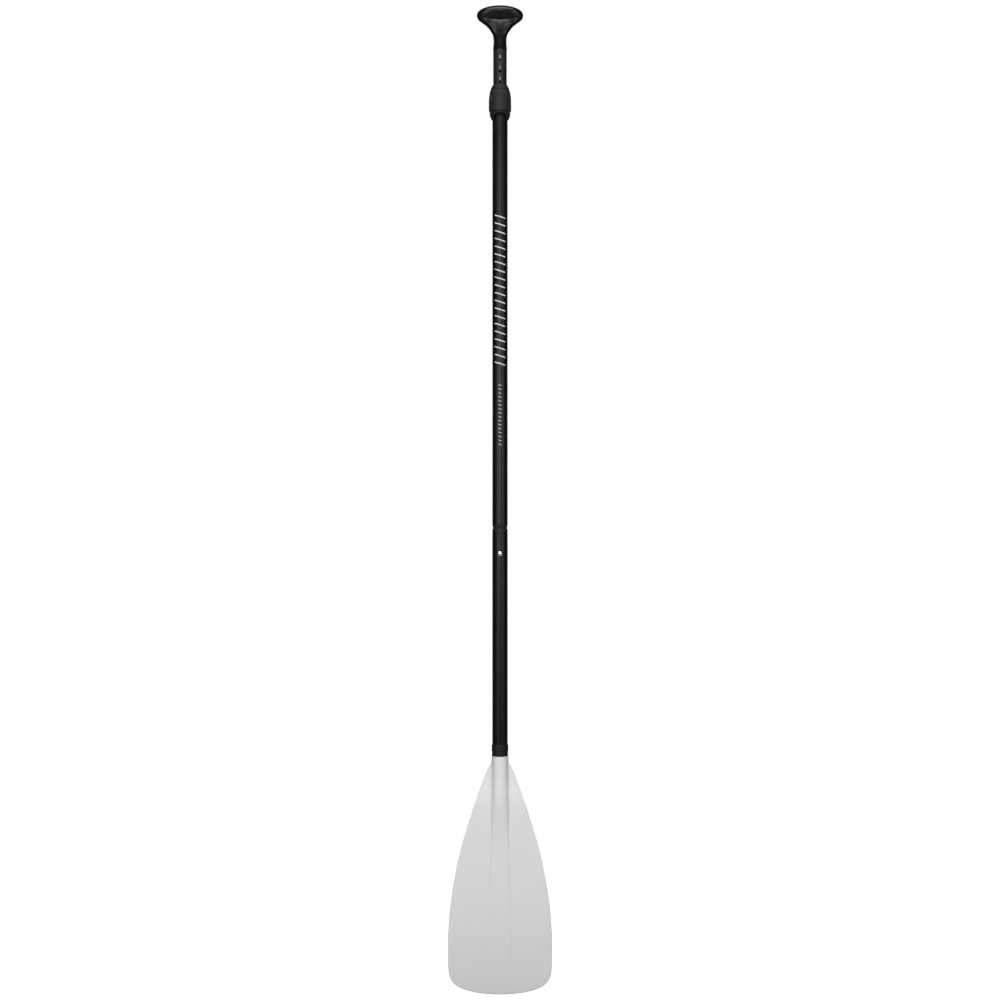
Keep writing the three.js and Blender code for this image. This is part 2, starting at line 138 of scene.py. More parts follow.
class Finish:  # one material being made
    def __init__(self, name, **fixed):
        self.material = bpy.data.materials.new(name)
        self.material.use_nodes = True
        self.tree = self.material.node_tree
        self.tree.nodes.clear()
        self.shader = self.tree.nodes.new("ShaderNodeBsdfPrincipled")
        output = self.tree.nodes.new("ShaderNodeOutputMaterial")
        self.tree.links.new(self.shader.outputs[0], output.inputs[0])
        self.place = self.node("ShaderNodeTexCoord", {}, {}, "Object")
        self.feed(self.shader, fixed)

    def feed(self, node, values):
        for key, value in values.items():
            socket = node.inputs[key]
            if isinstance(value, Wire):
                self.tree.links.new(value.socket, socket)
            else:
                socket.default_value = value

    def node(self, kind, settings, values, output=0):
        made = self.tree.nodes.new(kind)
        for key, value in settings.items():
            setattr(made, key, value)
        self.feed(made, values)
        return Wire(self, made.outputs[output])

    def axes(self):
        split = self.node("ShaderNodeSeparateXYZ", {}, {"Vector": self.place})
        outputs = split.socket.node.outputs
        return [Wire(self, outputs[axis]) for axis in "XYZ"]

    def noise(self, scale, detail=2.0, rough=0.5, stretch=(1, 1, 1), shift=(0, 0, 0)):
        placing = {"Vector": self.place, "Scale": stretch, "Location": shift}
        moved = self.node("ShaderNodeMapping", {}, placing)
        values = {"Vector": moved, "Scale": scale, "Detail": detail, "Roughness": rough}
        return self.node("ShaderNodeTexNoise", {}, values)

    def cells(self, scale, stretch=(1, 1, 1)):
        moved = self.node("ShaderNodeMapping", {}, {"Vector": self.place, "Scale": stretch})
        return self.node("ShaderNodeTexVoronoi", {}, {"Vector": moved, "Scale": scale}, "Distance")

    def mix(self, first, second, share):
        settings = {"data_type": "RGBA", "clamp_factor": True}
        made = self.node("ShaderNodeMix", settings, {})
        node = made.socket.node
        for key, value in ((0, share), (6, first), (7, second)):
            if isinstance(value, Wire):
                self.tree.links.new(value.socket, node.inputs[key])
            elif key == 0:
                node.inputs[key].default_value = value
            else:
                node.inputs[key].default_value = (*value, 1)
        return Wire(self, node.outputs[2])

    def bump(self, height, depth, strength=1.0):  # height from 0 to 1, depth in millimetres
        values = {"Height": height, "Distance": depth * mm, "Strength": strength}
        return self.node("ShaderNodeBump", {}, values)

    def surface(self, colour, roughness, normal=None, **more):
        self.feed(self.shader, {"Base Color": colour, "Roughness": roughness, **more})
        if normal is not None:
            self.feed(self.shader, {"Normal": normal})
        return self.material


# The look of a moulded or painted dark surface: two tones that drift over centimetres, fine grain, hairline
# rubs along Z and a thin grey bloom of dust in patches.
def darkFinish(name, tones, roughness, grain, grainDepth, rubs=0.3, dust=0.1, **fixed):
    made = Finish(name, **fixed)
    drift = made.noise(28, 3, 0.55)
    fine = made.noise(grain, 2, 0.6)
    lines = made.noise(420, 3, 0.7, (1, 1, 0.03)).over(0.6, 0.74) * made.noise(60, 2, 0.5).over(0.45, 0.6)
    bloom = made.noise(75, 4, 0.7, shift=(0.3, 0.1, 0.7)).over(0.5, 0.75)
    colour = made.mix(tones[0], tones[1], drift)
    colour = made.mix(colour, (0.10, 0.10, 0.10), lines * (0.22 * rubs) + bloom * (0.12 * dust))
    rough = roughness - 0.05 + drift * 0.1 + lines * (0.18 * rubs) + bloom * (0.2 * dust) + fine * 0.04
    normal = made.bump(fine + lines * (-0.35 * rubs), grainDepth)
    return made, colour, rough, normal


def darkMaterial(name, tones, roughness, grain, grainDepth, rubs, dust, shine=0.27):
    fixed = {"Specular IOR Level": shine}
    made, colour, rough, normal = darkFinish(name, tones, roughness, grain, grainDepth, rubs, dust, **fixed)
    return made.surface(colour, rough, normal)


stripes = {
    "longRow": (293.0, 575.0),  # heights, in millimetres
    "longPitch": 14.1,
    "longHalfWidth": 9.4,
    "shortRow": (149.0, 264.0),
    "shortPitch": 7.2,
    "shortHalfWidth": 2.6,
    "stroke": 0.15,  # share of the pitch
    "slant": 0.32,
}


# Painted tube with two rows of plain slanted strokes printed on its front.
def shaftPaint():
    tones = (0.0036, 0.0037, 0.0043), (0.005, 0.0052, 0.006)
    fixed = {"Specular IOR Level": 0.2}
    made, colour, rough, normal = darkFinish("shaftPaint", tones, 0.31, 1500, 0.008, 0.5, 0.2, **fixed)
    x, y, z = made.axes()
    printed = 0.0
    for row in ("long", "short"):
        low, high = (value * mm for value in stripes[row + "Row"])
        pitch = stripes[row + "Pitch"] * mm
        step = (z + x * stripes["slant"] - low) / pitch
        stroke = (step.part() - 0.5).size() < stripes["stroke"] / 2
        inside = (x.size() < stripes[row + "HalfWidth"] * mm) * (z > low) * (z < high) * (y < 0.0)
        printed = stroke * inside + printed
    wear = made.noise(900, 3, 0.7).over(0.68, 0.74)
    ink = printed * (1 - wear * 0.6)
    colour = made.mix(colour, (0.62, 0.63, 0.64), ink)
    return made.surface(colour, rough + ink * 0.12, normal)


# Anodised tube: fine turning lines round it, long slide marks down it, brighter where the pin rubs by the
# holes.
def anodised():
    tones = (0.014, 0.0145, 0.0165), (0.019, 0.0195, 0.0225)
    made, colour, rough, normal = darkFinish("anodised", tones, 0.38, 1800, 0.006, 1.0, 0.1, Metallic=0.45)
    turning = made.noise(50, 2, 0.6, (0.2, 0.2, 60))
    x, y, z = made.axes()
    track = (1 - (x.size() / mm).over(1.5, 4.5)) * (y < 0.0)
    slide = made.noise(700, 3, 0.7, (1, 1, 0.01)).over(0.52, 0.66) * track
    colour = made.mix(colour, (0.075, 0.077, 0.08), slide * 0.3)
    return made.surface(colour, rough + turning * 0.08 - slide * 0.05, normal)


# White moulded blade: faint flow clouds, glass-fibre flecks, a fine sand grain, grey scuffs near its tip, and
# painted shade: a darker tone towards its tip and by its socket, where the light falls off.
def bladePlastic():
    made = Finish("bladePlastic", IOR=1.48)
    x, y, z = made.axes()
    low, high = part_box("blade")
    clouds = made.noise(11, 4, 0.55, (1, 1, 0.45))
    fibres = made.noise(650, 3, 0.7, (1, 1, 0.22)).over(0.58, 0.78)
    grain = made.noise(1900, 2, 0.6)
    specks = 1 - made.cells(240).over(0.035, 0.07)
    specks = specks * made.noise(40, 2, 0.5).over(0.58, 0.66)
    tip = 1 - z.over(low[2], low[2] + 0.09)
    edge = x.size().over(0.07, 0.095)
    scuffs = made.noise(150, 5, 0.75, (1, 1, 3)).over(0.55, 0.72) * (tip * 0.8 + edge * 0.2)
    scratches = made.noise(130, 3, 0.65, (0.15, 1, 3.5)).over(0.64, 0.7)
    scratches = scratches * made.noise(25, 2, 0.5).over(0.5, 0.62)
    colour = made.mix((0.765, 0.775, 0.77), (0.81, 0.82, 0.812), clouds)
    # Painted shade: the colour is darkened over the lower blade and just below the socket, where less light
    # falls.
    paintedTipShade = 1 - z.over(low[2] - 0.1, low[2] + 0.25)
    paintedShade = paintedTipShade * 0.9 + z.over(high[2] - 0.075, high[2] - 0.03) * 0.55
    colour = made.mix(colour, (0.66, 0.665, 0.66), paintedShade)
    colour = made.mix(colour, (0.86, 0.865, 0.86), fibres * 0.3)
    colour = made.mix(colour, (0.42, 0.42, 0.40), scuffs * 0.22 + scratches * 0.08 + specks * 0.25)
    rough = 0.42 + clouds * 0.08 + scuffs * 0.15 + grain * 0.06 + scratches * 0.1
    normal = made.bump(grain * 0.6 + fibres * 0.3 - scuffs * 0.5 - scratches * 0.4, 0.02)
    return made.surface(colour, rough, normal)


# Bright steel: brushed hairs and a few fine pits.
def steel(name, tone, roughness, hairs):
    made = Finish(name, Metallic=1.0)
    brushed = made.noise(900, 3, 0.65, hairs)
    pits = 1 - made.cells(1300).over(0.06, 0.2)
    pits = pits * made.noise(200, 2, 0.5).over(0.5, 0.6)
    colour = made.mix(tone, tuple(value * 0.72 for value in tone), brushed.over(0.35, 0.7) * 0.5 + pits * 0.4)
    normal = made.bump(brushed * 0.5 - pits, 0.006)
    return made.surface(colour, roughness - 0.06 + brushed * 0.14 + pits * 0.15, normal)


# Closed-cell foam: small round cells.
def foam():
    made = Finish("foam")
    cells = made.cells(650)
    drift = made.noise(60, 3, 0.6)
    colour = made.mix((0.022, 0.023, 0.025), (0.05, 0.052, 0.056), cells.over(0.1, 0.6))
    colour = made.mix(colour, (0.03, 0.03, 0.033), drift * 0.5)
    return made.surface(colour, 0.88 + drift * 0.08, made.bump(cells, 0.12))


# Pale floor: a hint of tone so that it isn't one flat colour. Only the camera meets its full whiteness, so
# that it doesn't light dark undersides.
def floorFinish():
    made = Finish("paleFloor")
    drift = made.noise(2.5, 3, 0.5)
    colour = made.mix((0.30, 0.30, 0.30), (0.34, 0.34, 0.34), drift)
    made.surface(colour, 0.75 + drift * 0.1, made.bump(made.noise(300, 2, 0.5), 0.02))
    white = made.node("ShaderNodeEmission", {}, {"Color": (1, 1, 1, 1), "Strength": 0.93})
    both = made.node("ShaderNodeAddShader", {}, {0: Wire(made, made.shader.outputs[0]), 1: white})
    seen = made.node("ShaderNodeLightPath", {}, {}, "Is Camera Ray")
    choice = made.node("ShaderNodeMixShader", {}, {0: seen, 1: Wire(made, made.shader.outputs[0]), 2: both})
    output = next(node for node in made.tree.nodes if node.type == "OUTPUT_MATERIAL")
    made.tree.links.new(choice.socket, output.inputs[0])
    return made.material


darkTones = {  # linear colours of the two tones of each dark plastic
    "ferrule": ((0.006, 0.006, 0.006), (0.009, 0.009, 0.009)),
    "clamp": ((0.0112, 0.0117, 0.0135), (0.0148, 0.0153, 0.0176)),
    # near-black tones of painted shadow, for the skirt seen in the collar's arch
    "paintedShadow": ((0.0016, 0.0016, 0.0018), (0.0024, 0.0024, 0.0026)),
    "rubber": ((0.004, 0.004, 0.0041), (0.006, 0.006, 0.0061)),
    "grip": ((0.0032, 0.0032, 0.0036), (0.0046, 0.0046, 0.005)),
}
finishes = {
    "shaft": shaftPaint(),
    "anodised": anodised(),
    "ferrule": darkMaterial("ferruleNylon", darkTones["ferrule"], 0.5, 1300, 0.03, 0.3, 0.3),
    "clamp": darkMaterial("clampNylon", darkTones["clamp"], 0.54, 1500, 0.03, 0.25, 0.2),
    # painted shadow: a near-black, dull finish for the skirt in the collar's arch
    "paintedShadow": darkMaterial("paintedShadowNylon", darkTones["paintedShadow"], 0.6, 1200, 0.03, 0.1, 0.3, shine=0.08),
    "rubber": darkMaterial("softRubber", darkTones["rubber"], 0.62, 1000, 0.04, 0.0, 0.5),
    "grip": darkMaterial("gripPlastic", darkTones["grip"], 0.29, 1400, 0.012, 0.5, 0.15),
    "blade": bladePlastic(),
    "stainless": steel("stainless", (0.72, 0.73, 0.74), 0.24, (1, 1, 0.2)),
    "zinc": steel("zincSteel", (0.52, 0.53, 0.55), 0.38, (1, 0.3, 1)),
    "foam": foam(),
    "floor": floorFinish(),
}
print("finishes made:", len(finishes))


# Grids of points become one welded, closed mesh. Each grid is rows x columns x 3; a mask leaves faces out.
def meshFrom(name, grids, sharpAngle=38):
    points, faces, first = [], [], 0
    for grid, wraps, kept in grids:
        rows, columns = grid.shape[:2]
        number = first + np.arange(rows * columns).reshape(rows, columns)
        right = np.roll(number, -1, axis=1) if wraps else number[:, 1:]
        left = number if wraps else number[:, :-1]
        quads = np.stack([left[:-1], right[:-1], right[1:], left[1:]], axis=-1)
        faces.append(quads.reshape(-1, 4) if kept is None else quads[kept])
        points.append(grid.reshape(-1, 3))
        first += rows * columns
    mesh = bpy.data.meshes.new(name)
    mesh.from_pydata(np.concatenate(points) * mm, [], np.concatenate(faces))
    work = bmesh.new()
    work.from_mesh(mesh)
    bmesh.ops.remove_doubles(work, verts=work.verts, dist=1.5e-6)
    bmesh.ops.dissolve_degenerate(work, edges=work.edges, dist=1e-7)
    bmesh.ops.delete(work, geom=[v for v in work.verts if not v.link_faces], context="VERTS")
    bmesh.ops.recalc_face_normals(work, faces=work.faces)
    work.to_mesh(mesh)
    work.free()
    smoothOver(mesh, sharpAngle)
    return mesh


def smoothOver(mesh, sharpAngle):
    mesh.polygons.foreach_set("use_smooth", np.ones(len(mesh.polygons), bool))
    mesh.set_sharp_from_angle(angle=math.radians(sharpAngle))
    mesh.update()


def addPiece(name, mesh, finish, body, nodes=()):
    piece = bpy.data.objects.new(name, mesh)
    bpy.context.collection.objects.link(piece)
    mesh.materials.clear()
    mesh.materials.append(finishes[finish])
    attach(piece, body)
    if nodes:
        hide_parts(*nodes)
    return piece


# Each corner of a profile becomes a short curve: a parabola that leaves it at the given distance.
def softened(profile, reach, steps=5, closed=True):
    corners = np.array(profile, float)
    before = np.roll(corners, 1, axis=0) - corners
    after = np.roll(corners, -1, axis=0) - corners
    room = np.minimum(np.linalg.norm(before, axis=1), np.linalg.norm(after, axis=1)) * 0.45
    reaches = np.minimum(np.broadcast_to(reach, room.shape), room)
    if not closed:
        reaches[[0, -1]] = 0
    start = corners + before / np.maximum(np.linalg.norm(before, axis=1), tiny)[:, None] * reaches[:, None]
    end = corners + after / np.maximum(np.linalg.norm(after, axis=1), tiny)[:, None] * reaches[:, None]
    t = np.linspace(0, 1, steps)[None, :, None]
    curve = (1 - t) ** 2 * start[:, None] + 2 * t * (1 - t) * corners[:, None] + t**2 * end[:, None]
    return curve.reshape(-1, 2)


# How far a six-sided outline stands in from its corners' circle, at angles in radians.
def hexShare(angle):
    return math.cos(math.pi / 6) / np.cos((angle + math.pi / 6) % (math.pi / 3) - math.pi / 6)


# A profile of radius and height turned about Z. Points marked in sixSided follow a hexagon instead.
def turned(profile, sides=96, closed=True, sixSided=None):
    radius, height = np.array(profile, float).T
    angle = np.linspace(0, 2 * math.pi, sides, endpoint=False)
    share = np.ones((len(radius), sides))
    if sixSided is not None:
        share[sixSided] = hexShare(angle)
    spread = radius[:, None] * share
    grid = np.stack([spread * np.cos(angle), spread * np.sin(angle), height[:, None] + 0 * spread], axis=-1)
    if closed:
        grid = np.concatenate([grid, grid[:1]])
    return grid


# A turned grid laid along an axis: its heights become distances along that axis from a point.
def laid(grid, along, origin=(0, 0, 0)):
    order = {"-Y": ((0, 1), (2, -1), (1, 1)), "+Y": ((0, 1), (2, 1), (1, 1)), "-X": ((2, -1), (0, 1), (1, 1))}
    return np.stack([grid[..., axis] * sign for axis, sign in order[along]], axis=-1) + np.array(origin)


def ringGrid(radius, angle, height):  # angle from the front towards +X, in degrees
    turn = np.radians(angle)
    parts = np.broadcast_arrays(radius * np.sin(turn), -radius * np.cos(turn), height)
    return np.stack(parts, axis=-1)


# A tube with round holes through its front. Laid flat, each hole sits in a square patch whose rings go from
# the circle to the square; plain patches fill the rest, and all are rolled on to the outside and the bore.
def tubeGrids(outer, bore, low, high, holeHeights, holeRadius, wallSteps=8, lip=0.22):
    half = holeRadius * 1.5
    toDegrees = 180 / (math.pi * outer)
    across = np.linspace(-half, half, wallSteps + 1)
    marks, grids, walls = [low], [], []
    for middle in sorted(holeHeights):
        marks.append(np.linspace(middle - half, middle + half, wallSteps + 1))
    marks.append(high)
    levels = np.sort(np.concatenate([np.atleast_1d(mark) for mark in marks]))
    gaps = np.diff(levels)
    spans = zip(levels[:-1], levels[1:], gaps)
    extra = [np.linspace(a, b, int(gap // 12) + 2)[1:-1] for a, b, gap in spans if gap > 12]
    levels = np.sort(np.concatenate([levels, *extra])) if extra else levels
    rest = np.linspace(half * toDegrees, 360 - half * toDegrees, 73)
    sheets = [(rest[None, :] + 0 * levels[:, None], levels[:, None] + 0 * rest[None, :])]
    bounds = [low]
    for middle in sorted(holeHeights):
        bounds += [middle - half, middle + half]
    bounds.append(high)
    for start, end in zip(bounds[::2], bounds[1::2]):
        rows = levels[(levels > start - tiny) & (levels < end + tiny)]
        sheets.append((across[None, :] * toDegrees + 0 * rows[:, None], rows[:, None] + 0 * across[None, :]))
    side = np.linspace(-1, 1, wallSteps + 1)[:-1]
    square = np.concatenate([
        np.stack([side, -np.ones_like(side)], -1), np.stack([np.ones_like(side), side], -1),
        np.stack([-side, np.ones_like(side)], -1), np.stack([-np.ones_like(side), -side], -1),
    ])
    turn = np.arctan2(square[:, 1], square[:, 0])
    circle = np.stack([np.cos(turn), np.sin(turn)], -1)
    share = np.linspace(0, 1, 4)[:, None, None]
    for middle in holeHeights:
        flat = (1 - share) * circle * (holeRadius + lip) + share * square * half
        sheets.append((flat[..., 0] * toDegrees, flat[..., 1] + middle))
        edge = circle * (holeRadius + lip)
        hole = circle * holeRadius
        bevel = circle * (holeRadius + lip * 0.3)
        steps = [(outer, edge), (outer - lip * 0.3, bevel), (outer - lip, hole), (bore, edge)]
        walls.append(np.stack([ringGrid(r, p[:, 0] * toDegrees, p[:, 1] + middle) for r, p in steps]))
    for number, (angles, heights) in enumerate(sheets):
        wraps = number >= len(sheets) - len(holeHeights) and len(holeHeights) > 0
        grids.append((ringGrid(outer + 0 * heights, angles, heights), wraps, None))
        grids.append((ringGrid(bore + 0 * heights, angles, heights), wraps, None))
    grids += [(wall, True, None) for wall in walls]
    full = np.unique(np.round(np.concatenate([across * toDegrees % 360, rest % 360]), 7))
    for level in (low, high):
        rim = np.stack([ringGrid(outer, full, level), ringGrid(bore, full, level)])
        grids.append((rim, True, None))
    return grids


# Lines for a grid that keeps its edges crisp: even steps, close lines either side of each soft edge, and
# two lines at each split, where the second is looked up just past it.
def linesFor(low, high, step, soft=(), split=(), reach=0.6):
    away = reach * np.array([0.06, 0.18, 0.35, 0.6, 1.0])
    near = (np.array([*soft, *split])[:, None] + np.concatenate([-away, away])).ravel()
    plain = np.concatenate([np.arange(low, high, step), [low, high], near])
    plain = np.unique(np.round(plain[(plain >= low) & (plain <= high)], 5))
    for value in split:
        plain = plain[np.abs(plain - value) > reach * 0.03]
    places = np.concatenate([plain, split, split])
    probes = np.concatenate([plain, np.array(split) - tiny, np.array(split) + tiny])
    order = np.argsort(probes)
    return places[order], probes[order]


# A shell round the Z axis whose outside and inside are functions of angle and height. Where both are the
# same there is an opening.
def shellGrids(angleLines, heightLines, outsideOf, insideOf, closed):
    (anglePlace, angleProbe), (heightPlace, heightProbe) = angleLines, heightLines
    outside = outsideOf(angleProbe[None, :], heightProbe[:, None])
    inside = np.broadcast_to(insideOf(angleProbe[None, :], heightProbe[:, None]), outside.shape)
    outside = np.maximum(outside, inside)
    isOpen = outside - inside < tiny
    corners = isOpen[:-1] & isOpen[1:]
    right = np.roll(corners, -1, axis=1) if closed else corners[:, 1:]
    left = corners if closed else corners[:, :-1]
    kept = ~(left & right)
    skins = [ringGrid(skin, anglePlace[None, :], heightPlace[:, None]) for skin in (outside, inside)]
    grids = [(skin, closed, kept) for skin in skins]
    grids += [(np.stack([skins[0][row], skins[1][row]]), closed, None) for row in (0, -1)]
    if not closed:
        grids += [(np.stack([skins[0][:, side], skins[1][:, side]]), False, None) for side in (0, -1)]
    return grids


def edgeFall(distance, radius):  # how far a rounded edge has dropped, at a distance from the edge
    return radius - np.sqrt(np.maximum(0, radius**2 - np.clip(radius - distance, 0, radius) ** 2))


def cutAway(piece, grids):  # a closed cutter made from grids is taken out of the piece
    cutter = bpy.data.objects.new("cutter", meshFrom("cutter", grids))
    bpy.context.collection.objects.link(cutter)
    cutting = piece.modifiers.new("cut", "BOOLEAN")
    cutting.object, cutting.operation, cutting.solver = cutter, "DIFFERENCE", "EXACT"
    view = bpy.context.evaluated_depsgraph_get()
    mesh = bpy.data.meshes.new_from_object(piece.evaluated_get(view))
    piece.modifiers.clear()
    piece.data = mesh
    bpy.data.objects.remove(cutter)
    smoothOver(mesh, 38)


def smoothStep(low, high, value):
    t = np.clip((value - low) / (high - low), 0, 1)
    return t * t * (3 - 2 * t)


# A smooth curve through knots: cubic pieces whose slope at a knot is that of its neighbours.
def throughKnots(knots, at):
    x, y = np.array(knots, float).T
    slope = np.gradient(y, x)
    spot = np.clip(np.searchsorted(x, at) - 1, 0, len(x) - 2)
    wide = x[spot + 1] - x[spot]
    t = np.clip((at - x[spot]) / wide, 0, 1)
    start = (2 * t**3 - 3 * t**2 + 1) * y[spot] + (t**3 - 2 * t**2 + t) * wide * slope[spot]
    end = (3 * t**2 - 2 * t**3) * y[spot + 1] + (t**3 - t**2) * wide * slope[spot + 1]
    return start + end


shaft = {
    "wall": 1.3,
    "buttonHoleRadius": 4.8,
    "plainPatch": 4.0,  # sets how the plain tube's grid is shared out
}

shaftRadius = radiusOf("upper_shaft")
shaftBore = shaftRadius - shaft["wall"]
buttonLow, buttonHigh = edgesOf("snap_button")
buttonHeight = (buttonLow[2] + buttonHigh[2]) / 2

lowerLow, lowerHigh = heightsOf("lower_shaft")
lowerShaft = meshFrom(
    "lowerShaft",
    tubeGrids(shaftRadius, shaftBore, lowerLow, lowerHigh, [buttonHeight], shaft["buttonHoleRadius"], 12),
)
addPiece("lower_shaft_skin", lowerShaft, "shaft", "lower_section", ["lower_shaft"])

upperLow, upperHigh = heightsOf("upper_shaft")
upperShaft = meshFrom(
    "upperShaft", tubeGrids(shaftRadius, shaftBore, upperLow, upperHigh, [], shaft["plainPatch"])
)
addPiece("upper_shaft_skin", upperShaft, "shaft", "upper_section", ["upper_shaft"])


ferrule = {
    "lip": 0.45,  # how far the groove's foot stands out from the bore
    "sink": 0.3,  # how far below the shaft's skin the slope ends
    "upperSlope": (4.4, 6.0),  # from the seam to the slope's end, and to the full radius
    "lowerSlope": (1.5, 3.2),
    "soft": (0.1, 0.25, 1.2, 1.2, 0.3, 0.1),
}


# A ring whose outside draws in to a lip at the seam between the shafts. Its profile has softened corners.
def ferruleProfile(seam, end):
    side = math.copysign(1, end - seam)
    slopeEnd, full = ferrule["upperSlope"] if side > 0 else ferrule["lowerSlope"]
    corners = [
        (shaftBore, seam),
        (shaftBore + ferrule["lip"], seam),
        (shaftRadius - ferrule["sink"], seam + side * slopeEnd),
        (shaftRadius, seam + side * full),
        (shaftRadius, end),
        (shaftBore, end),
    ]
    return softened(corners, ferrule["soft"], 6)


for name, body in (("upper_ferrule", "upper_section"), ("lower_ferrule", "lower_section")):
    low, high = heightsOf(name)
    seam, end = (low, high) if name == "upper_ferrule" else (high, low)
    mesh = meshFrom(name, [(turned(ferruleProfile(seam, end)), True, None)])
    addPiece(name + "_skin", mesh, "ferrule", body, [name])

bladeCollar = {  # corners are out from the piece's radius, and up from its foot or its top
    "gap": 0.2,
    "blade_collar_sleeve": {
        "low": ((-0.15, 0), (0.1, 1.2), (0, 4.1), (-0.35, 4.6), (0, 5.2)),
        "high": ((0, 0),),
        "soft": (0.05, 0.3, 0.5, 0.25, 0.25, 0.25, 0.2, 0.05),
        "steps": 5,
    },
    "blade_collar_band": {
        "low": ((-0.1, 0), (0, 0.8)),
        "high": ((0, -1.1), (-0.7, 0)),
        "soft": (0.05, 0.35, 0.4, 0.8, 0.4, 0.05),
        "steps": 6,
    },
}

for name in ("blade_collar_sleeve", "blade_collar_band"):
    step, radius, (low, high) = bladeCollar[name], radiusOf(name), heightsOf(name)
    inner = shaftRadius + bladeCollar["gap"]
    corners = [(inner, low)]
    corners += [(radius + out, low + up) for out, up in step["low"]]
    corners += [(radius + out, high + up) for out, up in step["high"]]
    corners.append((inner, high))
    profile = softened(corners, step["soft"], step["steps"])
    mesh = meshFrom(name, [(turned(profile, 128), True, None)])
    addPiece(name + "_skin", mesh, "rubber", "lower_section", [name])
print("shafts and collars made")

blade = {
    "widestAt": 360.0,  # below the blade's top
    "neckEnd": 56.0,
    "rim": 2.9,  # how far the socket's rim stands above the height that the lengths are measured from
    "groove": 0.62,
    "grooveHalf": 0.9,
    "leanDegrees": 10.0,
    "bend": (46.0, 106.0),
    "edgeRound": 2.4,
    "panelHalf": 21.5,
    "neckRadius": 15.3,
    "socketWall": 1.0,
    "socketDepth": 54,
    "rightGroove": 1.5,  # how much deeper than the left one
    "rightLonger": 25,
}

bladeLow, bladeHigh = edgesOf("blade")
bladeTop = bladeHigh[2] - blade["rim"]
bladeLength = bladeTop - bladeLow[2]
bladeHalfWidth = (bladeHigh[0] - bladeLow[0]) / 2
neckRadius = blade["neckRadius"]


# Half the width: a round neck, wings that widen as a quarter sine wave, then a sixth-power tip.
def bladeWidth(down):
    t = np.clip((down - blade["widestAt"]) / (bladeLength - blade["widestAt"]), 0, 1)
    rise = 0.103 + 0.897 * np.minimum(down / blade["widestAt"], 1)
    wing = bladeHalfWidth * np.sin(math.pi / 2 * rise) - 6.5 * np.exp(-down / 18)
    wing = np.maximum(wing, neckRadius) + 0.9 * np.exp(-(((down - 21) / 9) ** 2))
    return np.where(down > blade["widestAt"], bladeHalfWidth * np.sqrt(np.maximum(0, 1 - t**6)), wing)


# How far the middle stands behind the shaft's axis: a parabola over the bend, then a straight line.
def bladeOffset(down):
    start, end = blade["bend"]
    bent = np.clip(down - start, 0, end - start)
    lean = math.tan(math.radians(blade["leanDegrees"]))
    return lean * (bent**2 / (2 * (end - start)) + np.maximum(0, down - end))


# Half the thickness: a thin plate with a rounded edge, and on it a spine that is round at the neck and sinks
# to a low flat-topped panel with soft shoulders. On the back the spine lasts further down.
def bladeThickness(down, across, isBack):
    width = bladeWidth(down)
    plate = 2.4 - 0.6 * smoothStep(100, bladeLength, down)
    low = (2.5 if isBack else 1.6) * (1 - smoothStep(150, 400 if isBack else 415, down))
    sunk = smoothStep(blade["neckEnd"], 350 if isBack else 172, down)
    crest = neckRadius + (plate + low - neckRadius) * sunk
    squareness = 2 + 6 * smoothStep(70, 200, down)
    inside = np.maximum(0, 1 - (np.abs(across) / spineHalf(down)) ** squareness)
    share = np.clip(across / np.maximum(width, tiny), -1, 1)
    reach = (bladeLength - blade["widestAt"]) * np.maximum(0, 1 - (across / bladeHalfWidth) ** 2) ** (1 / 6)
    toEdge = np.minimum(width - np.abs(across), blade["widestAt"] + reach - down)
    inward = np.clip(1 - toEdge / blade["edgeRound"], 0, 1)
    rounded = np.sqrt(np.maximum(0, 1 - inward**2))
    thinned = plate * (0.62 + 0.38 * np.sqrt(np.maximum(0, 1 - share**6)))
    spine = (crest - plate) * np.sqrt(inside)
    end = np.where(across > 0, blade["rightLonger"], 0)
    fade = smoothStep(75, 130, down) * (1 - smoothStep(340 + end, 415 + end, down))
    fade = fade * np.where(across > 0, blade["rightGroove"], 1.0)
    line = np.exp(-(((np.abs(across) - spineHalf(down)) / blade["grooveHalf"]) ** 2)) * fade
    flat = (thinned + spine - blade["groove"] * line) * rounded
    neck = np.sqrt(np.maximum(0, neckRadius**2 - across**2))
    wing = np.where(width > neckRadius + 0.01, thinned * rounded, 0)
    pastNeck = smoothStep(blade["neckEnd"] - 8, blade["neckEnd"] + 12, down)
    return np.maximum(neck, wing) * (1 - pastNeck) + flat * pastNeck


def spineHalf(down):
    return neckRadius + (blade["panelHalf"] - neckRadius) * smoothStep(60, 390, down)


